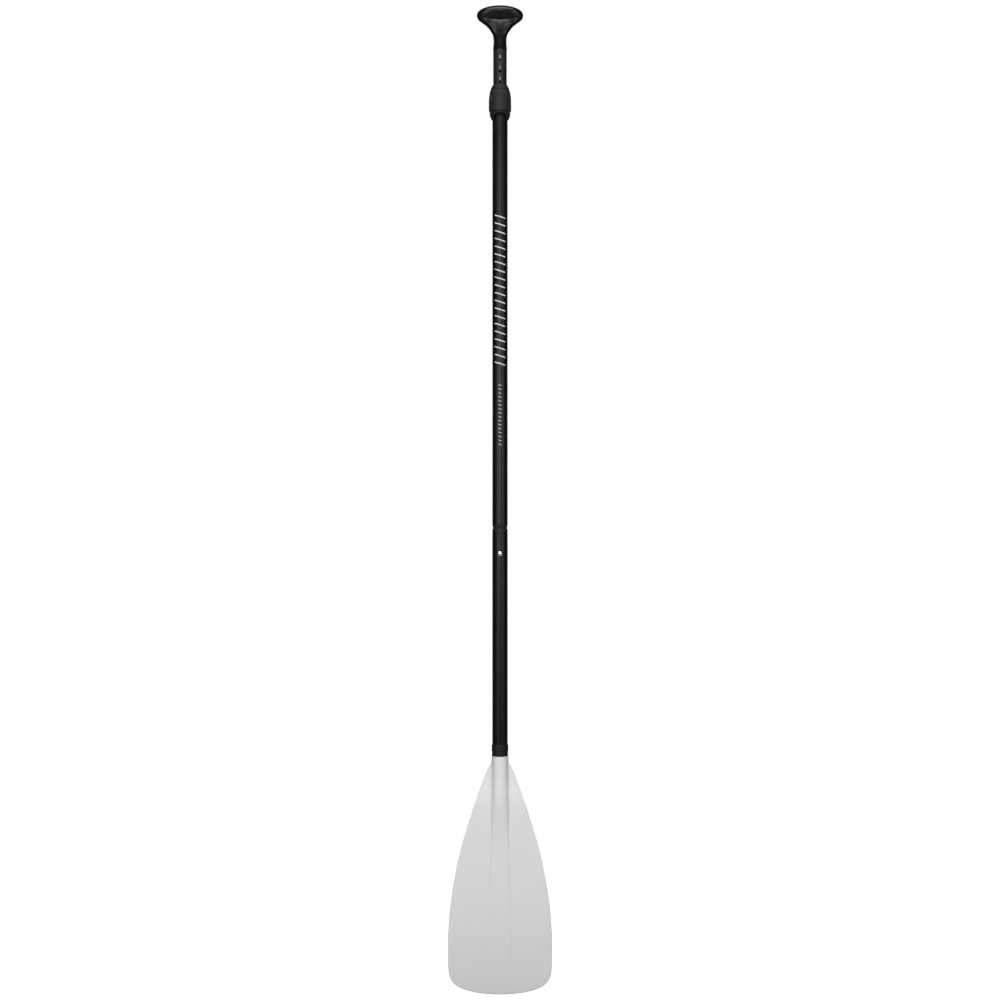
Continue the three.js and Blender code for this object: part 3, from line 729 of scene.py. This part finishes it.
# The blade's skin: rows go down it, and columns go across the front and back again across the back. The
# first share of the columns spans the spine so that its edges lie along grid lines.
def bladeGrids():
    tip = blade["widestAt"] + (bladeLength - blade["widestAt"]) * np.sin(np.linspace(0, math.pi / 2, 64))
    neckRows = np.linspace(-blade["rim"], 110, 90)
    wingRows = np.linspace(110, blade["widestAt"], 88)[1:]
    down = np.concatenate([neckRows, wingRows, tip[1:]])[:, None]
    spine = 1 - np.linspace(1, 0, 28) ** 1.8
    wing = np.sin(np.linspace(0, math.pi / 2, 44)[1:]) ** 1.35
    width = bladeWidth(down)
    inner = np.minimum(spineHalf(down), width)
    half = np.concatenate([spine * inner, inner + wing * (width - inner)], axis=1)
    across = np.concatenate([-half[:, ::-1], half[:, 1:]], axis=1)
    front = bladeOffset(down) - bladeThickness(down, across, False)
    back = bladeOffset(down) + bladeThickness(down, across, True)
    height = bladeTop - down + 0 * across
    frontSkin = np.stack([across, front, height], -1)
    backSkin = np.stack([across, back, height], -1)[:, ::-1][:, 1:-1]
    skin = np.concatenate([frontSkin, backSkin], axis=1)
    middle = skin.mean(axis=1, keepdims=True)
    socket = neckRadius - blade["socketWall"]
    rim, floor = skin[0], bladeTop - blade["socketDepth"]
    turn = np.arctan2(rim[:, 1], rim[:, 0])
    hole = np.stack([socket * np.cos(turn), socket * np.sin(turn), 0 * turn + rim[:, 2]], -1)
    bottom = hole * np.array([1, 1, 0]) + np.array([0, 0, floor])
    centre = bottom * np.array([0, 0, 1])
    tipCap = np.stack([skin[-1], 0 * skin[-1] + middle[-1]])
    return [(skin, True, None), (np.stack([rim, hole, bottom, centre]), True, None), (tipCap, True, None)]


bladeMesh = meshFrom("blade", bladeGrids(), 50)
addPiece("blade_skin", bladeMesh, "blade", "lower_section", ["blade"])
print("blade made:", len(bladeMesh.polygons), "faces")


rivets = {  # finish, body, head's radius, dome's height, and how far it stands out from the CAD rivet
    "blade_rivet": ("stainless", "lower_section", 3.6, 1.4, 0),
    "spigot_rivet_low": ("zinc", "upper_section", 3.6, 1.1, 0),
    "spigot_rivet_high": ("zinc", "upper_section", 3.6, 1.1, 0),
    "grip_rivet": ("zinc", "handle", 2.4, 0.3, 0.05),
}
rivetShape = {"shankDepth": 3, "shankShare": 0.55, "skirt": 0.3, "skirtIn": 0.1}


# A round-headed rivet on the back: a shank, a thin skirt and a low dome.
def rivetGrid(reach, radius, dome, height):
    rise = np.linspace(0, math.pi / 2, 14)
    head = np.stack([radius * np.cos(rise), reach - dome + dome * np.sin(rise)], -1)
    shank = radius * rivetShape["shankShare"]
    foot, skirt = reach - dome - rivetShape["shankDepth"], reach - dome - rivetShape["skirt"]
    start = [(0, foot), (shank, foot), (shank, skirt), (radius - rivetShape["skirtIn"], skirt)]
    profile = np.concatenate([start, head])
    return laid(turned(profile, 64, closed=False), "+Y", (0, 0, height))


for name, (finish, body, radius, dome, proud) in rivets.items():
    low, high = edgesOf(name)
    grid = rivetGrid(high[1] + proud, radius, dome, (low[2] + high[2]) / 2)
    addPiece(name + "_head", meshFrom(name, [(grid, True, None)]), finish, body, [name])

spigot = {"wall": 2.0, "taper": 3.0, "taperDepth": 1.4, "holeRadius": 4.8}

spigotLow, spigotHigh = heightsOf("spigot")
spigotRadius = radiusOf("spigot")


def spigotGrids():
    grids = tubeGrids(
        spigotRadius, spigotRadius - spigot["wall"], spigotLow + spigot["taper"], spigotHigh,
        [buttonHeight], spigot["holeRadius"], 12,
    )
    first = grids[-2][0]
    end = first.copy()
    share = (spigotRadius - spigot["taperDepth"]) / spigotRadius
    end[0] = first[0] * np.array([share, share, 1])
    end[:, :, 2] = spigotLow
    grids[-2] = (np.stack([first[0], end[0], end[1], first[1]]), True, None)
    return grids


addPiece("spigot_skin", meshFrom("spigot", spigotGrids()), "ferrule", "upper_section", ["spigot"])

button = {
    "radius": 4.5,
    "dome": 2.6,
    "flangeRadius": 5.6,
    "flange": (7.2, 8.3),  # from the axis forwards
}

# The button: a flange inside, a straight side and a dome that is a flattened quarter circle.
rise = np.linspace(0, math.pi / 2, 20)
domeFoot = -buttonLow[1] - button["dome"]
dome = np.stack([button["radius"] * np.cos(rise) ** 0.8, domeFoot + button["dome"] * np.sin(rise)], -1)
flangeBack, flangeFront = button["flange"]
flange = [
    (0, flangeBack), (button["flangeRadius"], flangeBack), (button["flangeRadius"], flangeFront),
    (button["radius"], flangeFront),
]
buttonGrid = turned(np.concatenate([flange, dome]), 72, closed=False)
buttonMesh = meshFrom("snapButton", [(laid(buttonGrid, "-Y", (0, 0, buttonHeight)), True, None)])
addPiece("snap_button_dome", buttonMesh, "stainless", "snap_button", ["snap_button"])

spring = {
    "thick": 0.6,
    "bendHeight": -14.0,
    "frontFoot": -52.5,
    "backFoot": -60.5,
    "still": (0.0, -0.535, -30.0),  # from here to there the leaf goes from still to moving with the button
    "moving": (0.0, -9.228, -32.775),
}


# A leaf bent into a U: a strip with rounded long edges swept up the front leg, round the bend and down the
# back leg.
def springGrids():
    low, high = edgesOf("button_spring")
    half = spring["thick"] / 2
    front, back = low[1] + half, high[1] - half
    radius = (back - front) / 2
    legs = np.linspace(spring["frontFoot"], spring["bendHeight"], 40)
    bend = np.linspace(math.pi, 0, 40)[1:]
    backLeg = np.linspace(spring["bendHeight"], spring["backFoot"], 40)[1:]
    y = np.concatenate([0 * legs + front, (front + back) / 2 + radius * np.cos(bend), 0 * backLeg + back])
    z = np.concatenate([legs, spring["bendHeight"] + radius * np.sin(bend), backLeg])
    path = np.stack([y, z], -1)
    slope = np.gradient(path, axis=0)
    slope = slope / np.linalg.norm(slope, axis=1, keepdims=True)
    normal = np.stack([-slope[:, 1], slope[:, 0]], -1)
    wide = high[0]
    edge = softened([(-wide, -half), (wide, -half), (wide, half), (-wide, half)], 0.2, 4)
    place = path[:, None] + normal[:, None] * edge[None, :, 1:]
    strip = np.concatenate([np.broadcast_to(edge[None, :, :1], place[..., :1].shape), place], axis=-1)
    ends = [np.broadcast_to(strip[row].mean(axis=0), strip[row].shape)[None] for row in (0, -1)]
    return [(np.concatenate([ends[0], strip, ends[1]]), True, None)]


springLeaf = bpy.data.objects.new("button_spring_leaf", meshFrom("buttonSpring", springGrids()))
bpy.context.collection.objects.link(springLeaf)
springLeaf.data.materials.append(finishes["stainless"])
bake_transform(springLeaf)
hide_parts("button_spring")

clamp = {
    "shoulder": 776.0,
    "round": 42.0,
    "core": 16.2,
    "windowFrom": -40.4,
    "windowTo": 74.0,
    "pivotAngle": 58.0,
    "pivotDistance": 17.4,
    "knuckle": 3.0,
    "lowLugTop": 767.6,
    "highLugBottom": 789.0,
    "leverFree": -39.2,
    "leverRoot": 52.0,
    "gap": 0.3,
    "edge": 0.55,
    "slitFoot": 766.0,
    "slitHalf": 2.7,
    "skirtFoot": 752.5,
    "archHalf": 11.0,
    "archTop": 757.6,
    "notch": (-46.4, 786.0, 4.1, 6.2, 2.8),  # angle, height, half width, half height, depth
    "notchEdge": -52.0,
    "slot": (6, 17, 3.5),  # the pin's: middle angle, half angle, half height
    "skirtIn": 0.4,
    "skirtBevel": 0.3,
    "skirtOverlap": 0.5,
}

barrelRadius = radiusOf("clamp_body")
barrelTop = heightsOf("clamp_body")[1]
barrelLow = heightsOf("clamp_lever")[0]
pinHeight = sum(heightsOf("index_pin")) / 2
shaftSeatTop = heightsOf("upper_shaft")[1] + clamp["gap"]


# The barrel's outside: straight, rounding in like a dome towards the top, its two rims softened.
def barrelOutside(height):
    t = np.maximum(0, height - clamp["shoulder"]) / clamp["round"]
    radius = barrelRadius * np.sqrt(1 - t**2.5)
    foot = 1.0 * np.maximum(0, 1 - (height - barrelLow) / 3.2) ** 2.2
    return radius - foot - edgeFall(barrelTop - height, clamp["edge"])


# Where a ray at an angle crosses the knuckle's circle, near and far side; it grazes it at knuckleReach.
def knuckleCrossing(angle, side):
    turn = np.radians(angle - clamp["pivotAngle"])
    inside = clamp["knuckle"] ** 2 - (clamp["pivotDistance"] * np.sin(turn)) ** 2
    return clamp["pivotDistance"] * np.cos(turn) + side * np.sqrt(np.maximum(0, inside))


knuckleReach = math.degrees(math.asin(clamp["knuckle"] / clamp["pivotDistance"]))


def bodyInside(angle, height):
    return np.where(height < shaftSeatTop, shaftRadius + clamp["gap"], shaftBore) + 0 * angle


def bodyOutside(angle, height):
    barrel = barrelOutside(height) + 0 * angle
    toMillimetres = math.radians(1) * barrelRadius
    inWindow = (angle > clamp["windowFrom"]) & (angle < clamp["windowTo"])
    toWindow = np.minimum(np.abs(angle - clamp["windowFrom"]), np.abs(angle - clamp["windowTo"]))
    toWindow = toWindow * toMillimetres
    toSlit = (180 - np.abs(angle) - clamp["slitHalf"]) * toMillimetres
    toSlit = np.where(height > clamp["slitFoot"], toSlit, 9)
    turn, level, wide, tall, depth = clamp["notch"]
    dent = 1 - ((angle - turn) * toMillimetres / wide) ** 2 - ((height - level) / tall) ** 2
    body = barrel - edgeFall(toWindow, clamp["edge"]) - edgeFall(np.maximum(toSlit, 0), clamp["edge"] * 0.6)
    body = body - depth * np.maximum(0, dent) ** 0.75
    isLug = (np.abs(angle - clamp["pivotAngle"]) < knuckleReach) & (
        (height < clamp["lowLugTop"]) | (height > clamp["highLugBottom"])
    )
    lug = np.minimum(knuckleCrossing(angle, 1), barrel)
    window = np.where(isLug, np.maximum(lug, clamp["core"]), clamp["core"])
    body = np.where(inWindow, window, body)
    middle, halfAngle, halfHeight = clamp["slot"]
    inSlot = (np.abs(angle - middle) < halfAngle) & (np.abs(height - pinHeight) < halfHeight)
    inSlit = (180 - np.abs(angle) < clamp["slitHalf"]) & (height > clamp["slitFoot"])
    return np.where(inSlot | inSlit, bodyInside(angle, height), body)


slitEdge = 180 - clamp["slitHalf"]
slotMiddle, slotAngle, slotHeight = clamp["slot"]
bodyAngles = linesFor(
    -180, 180 - 2.4, 2.4,
    split=(
        -slitEdge, clamp["windowFrom"], slotMiddle - slotAngle, slotMiddle + slotAngle,
        clamp["pivotAngle"] - knuckleReach, clamp["pivotAngle"] + knuckleReach, clamp["windowTo"], slitEdge,
    ),
    soft=(clamp["notch"][0], clamp["notchEdge"]), reach=1.6,
)
bodyHeights = linesFor(
    barrelLow, barrelTop, 1.2,
    split=(
        clamp["slitFoot"], clamp["lowLugTop"], clamp["highLugBottom"], shaftSeatTop,
        pinHeight - slotHeight, pinHeight + slotHeight,
    ),
    soft=(barrelTop, clamp["notch"][1]),
)
clampMesh = meshFrom("clampBody", shellGrids(bodyAngles, bodyHeights, bodyOutside, bodyInside, True))
clampBody = addPiece("clamp_body_shell", clampMesh, "clamp", "upper_section", ["clamp_body"])

# The skirt below the barrel, behind the collar: it shows in the collar's arch. Its near-black, dull finish is
# painted shadow under the collar's lip.
skirtOut, skirtIn = clamp["core"] - clamp["skirtIn"], shaftRadius + clamp["gap"]
skirtTop, bevel = barrelLow + clamp["skirtOverlap"], clamp["skirtBevel"]
skirtProfile = [
    (skirtIn, clamp["skirtFoot"]),
    (skirtOut - bevel, clamp["skirtFoot"]),
    (skirtOut, clamp["skirtFoot"] + bevel),
    (skirtOut, skirtTop),
    (skirtIn, skirtTop),
]
skirtMesh = meshFrom("clampSkirt", [(turned(skirtProfile, 128), True, None)])
addPiece("clamp_body_skirt", skirtMesh, "paintedShadow", "upper_section")

screw = {  # profiles are radius and distance along the axis
    "profile": (
        (0, -11.2), (1.4, -11.2), (1.5, -10.9), (1.5, 8.4), (2.7, 8.4), (2.8, 8.6), (2.8, 10.4), (2.6, 11.0),
        (2.2, 11.2), (1.62, 11.2), (1.5, 11.05), (1.5, 9.5), (0, 9.3),
    ),
    "nut": ((1.7, -8.4), (2.95, -8.4), (3.1, -8.2), (3.1, -6.2), (2.95, -6.0), (1.7, -6.0)),
    "headPocket": (3.15, 8.1, 30),  # radius, from, to
    "nutPocket": (3.5, -30, -5.6),
}

screwLow, screwHigh = edgesOf("tension_screw")
screwPlace = (0, (screwLow[1] + screwHigh[1]) / 2, (screwLow[2] + screwHigh[2]) / 2)


def rodGrid(radius, low, high, sides=48, sixSided=False):
    profile = [(0, low), (radius, low), (radius, high), (0, high)]
    grid = turned(profile, sides, closed=False, sixSided=[1, 2] if sixSided else None)
    return laid(grid, "-X", screwPlace)


cutAway(clampBody, [(rodGrid(*screw["headPocket"]), True, None)])
cutAway(clampBody, [(rodGrid(*screw["nutPocket"], 60, True), True, None)])
print("clamp body made:", len(clampBody.data.polygons), "faces")

knuckleLow = clamp["lowLugTop"] + clamp["gap"]
knuckleHigh = clamp["highLugBottom"] - clamp["gap"]
leverCut = clamp["leverRoot"] - 5


def isKnuckle(height):
    return (height > knuckleLow) & (height < knuckleHigh)


def leverInside(angle, height):
    plain = clamp["core"] + clamp["gap"]
    near = np.where(angle > clamp["pivotAngle"] - knuckleReach, knuckleCrossing(angle, -1), plain)
    near = np.where(angle < clamp["leverRoot"], np.minimum(near, plain), near)
    return np.where(isKnuckle(height) & (angle > leverCut), near, plain)


def leverOutside(angle, height):
    barrel = barrelOutside(height) + 0 * angle
    toMillimetres = math.radians(1) * barrelRadius
    front = barrel - edgeFall((angle - clamp["leverFree"]) * toMillimetres, clamp["edge"])
    turn, level, wide, tall, depth = clamp["notch"]
    dent = 1 - ((angle - turn) * toMillimetres / wide) ** 2 - ((height - level) / tall) ** 2
    front = front - 0.45 * depth * np.maximum(0, dent)
    knuckle = np.where(angle < clamp["leverRoot"], barrel, np.minimum(knuckleCrossing(angle, 1), barrel))
    root = np.where(isKnuckle(height), knuckle, leverInside(angle, height))
    return np.where(angle < leverCut, front, root)


leverAngles = linesFor(
    clamp["leverFree"], clamp["pivotAngle"] + knuckleReach - 0.01, 2.4,
    split=(leverCut, clamp["pivotAngle"] - knuckleReach, clamp["leverRoot"]),
    soft=(clamp["leverFree"], clamp["pivotAngle"] + knuckleReach), reach=1.6,
)
leverHeights = linesFor(
    barrelLow, barrelTop, 1.2, split=(knuckleLow, knuckleHigh), soft=(barrelTop, barrelLow)
)
leverMesh = meshFrom("clampLever", shellGrids(leverAngles, leverHeights, leverOutside, leverInside, False))
addPiece("clamp_lever_shell", leverMesh, "clamp", "clamp_lever", ["clamp_lever"])

indexPin = {"radius": 2.1, "tipRadius": 1.6, "tip": 0.6}

pinLow, pinHigh = edgesOf("index_pin")
pinTip, pinRoot = -pinHigh[1], -pinLow[1]
pinCorners = [
    (0, pinTip), (indexPin["tipRadius"], pinTip), (indexPin["radius"], indexPin["tip"] + pinTip),
    (indexPin["radius"], pinRoot), (0, pinRoot),
]
pinGrid = turned(softened(pinCorners, 0.2, 5, False), 48, closed=False)
pinMesh = meshFrom("indexPin", [(laid(pinGrid, "-Y", (0, 0, pinHeight)), True, None)])
addPiece("index_pin_round", pinMesh, "stainless", "clamp_lever", ["index_pin"])

clampCollar = {
    "gap": 0.3,
    "mouth": 0.9,
    "low": ((14.6, 0), (15.9, 2.0), (17.9, 6.0), (18.5, 8.6)),  # radius, and height above the foot
    "high": ((18.65, -3.8), (19.0, -2.6), (18.7, -1.0), (17.7, 0)),  # radius, and height from the top
    "seatHeight": 752.2,
    "seatIn": 0.1,
    "soft": (0.1, 0.5, 1.2, 1.6, 1.2, 0.5, 0.5, 0.4, 0.3, 0.1, 0.1, 0.1),
}

collarLow, collarHigh = heightsOf("clamp_collar")
seatRadius, collarBore = clamp["core"] - clampCollar["seatIn"], shaftRadius + clampCollar["gap"]
collarCorners = [(collarBore, collarLow + clampCollar["mouth"])]
collarCorners += [(radius, collarLow + up) for radius, up in clampCollar["low"]]
collarCorners += [(radius, collarHigh + up) for radius, up in clampCollar["high"]]
collarCorners += [
    (seatRadius, collarHigh),
    (seatRadius, clampCollar["seatHeight"]),
    (collarBore, clampCollar["seatHeight"]),
]
collarProfile = softened(collarCorners, clampCollar["soft"], 7)
collarMesh = meshFrom("clampCollar", [(turned(collarProfile, 192), True, None)])
collar = addPiece("clamp_collar_skin", collarMesh, "clamp", "upper_section", ["clamp_collar"])


# A block with an arched top that reaches forward from the axis: a fourth-power oval above straight feet.
def archGrids():
    turn = np.linspace(0, math.pi, 49)
    across = np.sign(np.cos(turn)) * np.sqrt(np.abs(np.cos(turn))) * clamp["archHalf"]
    up = collarLow + (clamp["archTop"] - collarLow) * np.sqrt(np.abs(np.sin(turn)))
    across = np.concatenate([across, [-clamp["archHalf"], clamp["archHalf"]]])
    up = np.concatenate([up, [collarLow - 4, collarLow - 4]])
    outline = np.stack([across, 0 * across, up], -1)
    middle = np.broadcast_to(outline.mean(axis=0), outline.shape)
    forward = np.array([0, -24.0, 0])
    return [(np.stack([middle, outline, outline + forward, middle + forward]), True, None)]


cutAway(collar, archGrids())

wiper = {
    "sideEnd": 2.4,  # below the top
    "inset": 0.35,
    "top": ((13.75, -0.7), (13.35, 0)),  # radius, and height from the top
    "boreDrop": 0.25,
}

# The wiper ring: its side carries on the barrel's dome.
wiperLow, wiperHigh = heightsOf("wiper_ring")
rises = np.linspace(wiperLow, wiperHigh - wiper["sideEnd"], 12)
domed = barrelRadius * np.sqrt(1 - ((rises - clamp["shoulder"]) / clamp["round"]) ** 2.5)
wiperSide = np.stack([domed, rises], -1)
wiperFoot = [(shaftBore, wiperLow), (wiperSide[0, 0] - wiper["inset"], wiperLow)]
wiperEnd = [(radius, wiperHigh + up) for radius, up in wiper["top"]]
wiperEnd.append((shaftBore, wiperHigh - wiper["boreDrop"]))
wiperProfile = softened(np.concatenate([wiperFoot, wiperSide[1:], wiperEnd]), 0.3, 4)
wiperMesh = meshFrom("wiperRing", [(turned(wiperProfile, 128), True, None)], 50)
addPiece("wiper_ring_skin", wiperMesh, "rubber", "upper_section", ["wiper_ring"])

# The tension screw: a button head with a hexagon socket, and its nut.
screwGrid = laid(turned(screw["profile"], 72, closed=False, sixSided=[9, 10, 11]), "-X", screwPlace)
screwMesh = meshFrom("tensionScrew", [(screwGrid, True, None)])
addPiece("tension_screw_head", screwMesh, "stainless", "tension_screw", ["tension_screw"])
nutGrid = laid(turned(screw["nut"], 72, sixSided=[1, 2, 3, 4]), "-X", screwPlace)
nutMesh = meshFrom("tensionNut", [(nutGrid, True, None)])
addPiece("tension_nut_hexagon", nutMesh, "zinc", "upper_section", ["tension_nut"])
print("clamp made")

handle = {
    "wall": 1.3,
    "holeRadius": 2.9,
    "topHole": 853.5,
    "pitch": 20.0,
    "holes": 19,
    "firstMark": 175,  # overall length in centimetres when the pin is in the top hole
    "markStep": 2,
    "markSize": 3.4,
    "markAbove": 6.6,  # its middle above the hole
    "markProud": 0.14,
}

tubeLow, tubeHigh = heightsOf("handle_tube")
tubeRadius = radiusOf("handle_tube")
holeHeights = [handle["topHole"] - handle["pitch"] * number for number in range(handle["holes"])]
tubeMesh = meshFrom(
    "handleTube",
    tubeGrids(tubeRadius, tubeRadius - handle["wall"], tubeLow, tubeHigh, holeHeights, handle["holeRadius"]),
)
addPiece("handle_tube_skin", tubeMesh, "anodised", "handle", ["handle_tube"])


# Plain length marks beside the holes: flat figures whose x goes round the tube and whose y goes up it.
def lengthMarks():
    pieces = []
    for number, height in enumerate(holeHeights):
        text = bpy.data.curves.new("mark", "FONT")
        text.body = str(handle["firstMark"] + handle["markStep"] * number)
        text.size, text.extrude, text.resolution_u = handle["markSize"], handle["markProud"] / 2, 3
        text.align_x, text.align_y = "CENTER", "CENTER"
        holder = bpy.data.objects.new("mark", text)
        bpy.context.collection.objects.link(holder)
        bpy.context.view_layer.update()
        mesh = bpy.data.meshes.new_from_object(holder)
        bpy.data.objects.remove(holder)
        flat = np.empty(len(mesh.vertices) * 3)
        mesh.vertices.foreach_get("co", flat)
        flat = flat.reshape(-1, 3)
        radius = tubeRadius + handle["markProud"] / 2 + flat[:, 2]
        level = height + handle["markAbove"] - flat[:, 0]
        place = ringGrid(radius, np.degrees(flat[:, 1] / tubeRadius), level)
        mesh.vertices.foreach_set("co", (place * mm).ravel())
        pieces.append(mesh)
    work = bmesh.new()
    for mesh in pieces:
        work.from_mesh(mesh)
    bmesh.ops.remove_doubles(work, verts=work.verts, dist=2e-6)
    bmesh.ops.recalc_face_normals(work, faces=work.faces)
    joined = bpy.data.meshes.new("lengthMarks")
    work.to_mesh(joined)
    work.free()
    return joined


addPiece("length_marks", lengthMarks(), "blade", "handle")

grip = {
    "widest": 937.5,
    "brim": 944.0,  # where the front stands out furthest
    "underSlope": 0.57,  # how fast the front falls back below the brim
    "fillet": 0.6,
    "brimRound": 2.0,
    "halfWidth": 42.5,
    "halfDepth": 21.0,
    "sides": 288,
    "ribDepth": 0.32,
    "ribPitch": 3.4,
    "rimRadius": 12.85,
    "stemRadius": 10.8,
    "stemLength": 40.0,
}

gripRim = tubeHigh + 0.3
gripTop = heightsOf("palm_grip")[1]
stemKnots = [(gripRim, grip["rimRadius"]), (876.5, 12.75), (880, 12.4), (891.5, 11.9)]  # height, radius
widthKnots = stemKnots + [
    (902.5, 13.6), (910, 18), (918, 24.8), (925, 34.3), (930.5, 40.4), (934, 42.0), (937.5, 42.5),
]
backKnots = stemKnots + [(902.5, 12), (910, 13), (918, 15), (925, 18), (930.5, 20), (937.5, 21)]
neckKnots = stemKnots + [(902.5, 11.2), (910, 11.1), (918, 11.5), (956, 14.5)]


# The grip's skin: sections that are ovals of growing squareness, with a scooped front, a full crown and fine
# slanting ribs under both ends.
def gripGrids():
    lower = np.concatenate([np.linspace(gripRim, 880, 14), np.linspace(880, grip["widest"], 90)[1:]])
    crown = np.sin(np.linspace(0, math.pi / 2, 60))[1:]
    height = np.concatenate([lower, grip["widest"] + (gripTop - grip["widest"]) * crown])[:, None]
    t = np.clip((height - grip["widest"]) / (gripTop - grip["widest"]), 0, 1)
    share = np.sqrt(np.maximum(0, 1 - t**2.2))
    wide = np.where(t > 0, grip["halfWidth"] * share, throughKnots(widthKnots, height))
    back = np.where(t > 0, grip["halfDepth"] * share, throughKnots(backKnots, height))
    brim = np.clip((height - grip["brim"]) / (gripTop - grip["brim"]), 0, 1)
    crest = grip["halfDepth"] * np.sqrt(np.maximum(0, 1 - brim**1.6))
    drop = grip["brim"] - height
    fall = grip["underSlope"] * (drop + np.sqrt(drop**2 + grip["brimRound"] ** 2)) / 2
    under = np.maximum(0, crest - fall)
    neck = throughKnots(neckKnots, height)
    joined = (under + neck + np.sqrt((under - neck) ** 2 + grip["fillet"] ** 2)) / 2
    front = np.where(height > grip["brim"], under, joined)
    turn = np.linspace(0, 2 * math.pi, grip["sides"], endpoint=False)[None, :]
    squareness = 2 + 0.7 * smoothStep(895, 916, height) * (1 - smoothStep(920, 932, height))
    x = wide * np.sign(np.cos(turn)) * np.abs(np.cos(turn)) ** (2 / squareness)
    y = np.sign(np.sin(turn)) * np.abs(np.sin(turn)) ** (2 / squareness)
    y = y * np.where(y < 0, front, back)
    scoop = smoothStep(896, 922, height) * (1 - smoothStep(925, 932, height)) * (y < 0)
    sideways = np.abs(x) / np.maximum(wide, tiny)
    hollow = 1.3 * np.exp(-((sideways / 0.42) ** 2)) - 0.5 * np.exp(-(((sideways - 0.72) / 0.09) ** 2))
    y = y + scoop * hollow
    ribbed = smoothStep(20, 27, np.abs(x)) * smoothStep(914, 919, height) * (1 - smoothStep(930, 935, height))
    phase = (np.abs(x) * 0.75 + height) * 2 * math.pi / grip["ribPitch"]
    dip = 1 - grip["ribDepth"] / 30 * ribbed * (0.5 + 0.5 * np.cos(phase))
    x, y = x * dip, y * dip
    skin = np.stack([x, y, height + 0 * x], -1)
    rim = skin[0]
    share = grip["stemRadius"] / grip["rimRadius"]
    inner = rim * np.array([share, share, 1])
    stem = inner - np.array([0, 0, grip["stemLength"]])
    centre = stem * np.array([0, 0, 1])
    return [(skin, True, None), (np.stack([rim, inner, stem, centre]), True, None)]


gripMesh = meshFrom("palmGrip", gripGrids(), 45)
addPiece("palm_grip_skin", gripMesh, "grip", "handle", ["palm_grip"])
print("handle made")

keptFinish = {
    "shaft_end_seal": "ferrule",
    "lower_seal_bung": "foam",
    "upper_seal_bung": "foam",
    "guide_bush": "ferrule",
    "lever_pivot_pin": "stainless",
    "clamp_rivet": "zinc",
}
for name, finish in keptFinish.items():
    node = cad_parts[name]
    if not node.material_slots:
        node.data.materials.append(finishes[finish])
    node.material_slots[0].material = finishes[finish]

studio = {
    "cameraBack": 3.304,
    "cameraHeight": 0.0513,
    "lens": 65.0,
    "floorRadius": 1.2,
    "lights": (  # name, place, aimed at, width, height, watts
        ("frontStrip", (0.0, -2.3, 0.55), (0, 0, 0.55), 0.34, 1.25, 27),
        ("leftSoft", (-1.7, -2.6, 0.3), (0, 0, -0.4), 1.0, 1.6, 32),
        ("rightSoft", (2.1, -2.4, 0.3), (0, 0, -0.4), 1.0, 1.6, 23.5),
        ("top", (0.0, -0.5, 2.6), (0, 0, 0.5), 1.6, 0.9, 40),
        ("behind", (0.0, 3.0, 1.0), (0, 0, 0), 1.4, 2.0, 60),
    ),
}

floorLevel = cadBounds[0][2]
angle = np.linspace(0, 2 * math.pi, 96, endpoint=False)
rings = np.array([0, 0.5, 1.0]) * studio["floorRadius"] / mm
floorGrid = np.stack(
    [rings[:, None] * np.cos(angle), rings[:, None] * np.sin(angle), np.full((3, 96), floorLevel / mm)], -1
)
floor = bpy.data.objects.new("floor", meshFrom("floor", [(floorGrid, True, None)]))
bpy.context.collection.objects.link(floor)
floor.data.materials.append(finishes["floor"])


def aim(thing, target):
    away = np.array(target) - np.array(thing.location)
    flat = math.hypot(away[0], away[1])
    rise, turn = math.atan2(away[2], flat), math.atan2(away[1], away[0])
    thing.rotation_euler = (math.pi / 2 + rise, 0, turn - math.pi / 2)


for name, place, target, width, tall, watts in studio["lights"]:
    data = bpy.data.lights.new(name, "AREA")
    data.shape, data.size, data.size_y, data.energy = "RECTANGLE", width, tall, watts
    lamp = bpy.data.objects.new(name, data)
    bpy.context.collection.objects.link(lamp)
    lamp.location = place
    aim(lamp, target)
    lamp.visible_camera = False

world = bpy.data.worlds.new("studio")
bpy.context.scene.world = world
world.use_nodes = True
tree = world.node_tree
tree.nodes.clear()
seen = tree.nodes.new("ShaderNodeBackground")
unseen = tree.nodes.new("ShaderNodeBackground")
rays = tree.nodes.new("ShaderNodeLightPath")
choice = tree.nodes.new("ShaderNodeMixShader")
output = tree.nodes.new("ShaderNodeOutputWorld")
seen.inputs["Color"].default_value = (1, 1, 1, 1)
seen.inputs["Strength"].default_value = 1.0
unseen.inputs["Color"].default_value = (1, 1, 1, 1)
unseen.inputs["Strength"].default_value = 0.06
tree.links.new(rays.outputs["Is Camera Ray"], choice.inputs[0])
tree.links.new(unseen.outputs[0], choice.inputs[1])
tree.links.new(seen.outputs[0], choice.inputs[2])
tree.links.new(choice.outputs[0], output.inputs[0])

camera = bpy.data.objects.new("camera", bpy.data.cameras.new("camera"))
bpy.context.collection.objects.link(camera)
camera.location = (0, -studio["cameraBack"], studio["cameraHeight"])
camera.rotation_euler = (math.pi / 2, 0, 0)
camera.data.lens = studio["lens"]
camera.data.sensor_width = 36
camera.data.clip_start, camera.data.clip_end = 0.05, 50
bpy.context.scene.camera = camera
bpy.context.scene.view_settings.view_transform = "Standard"
print("studio made")


def plain(bounds):
    return [[float(value) for value in corner] for corner in bounds]
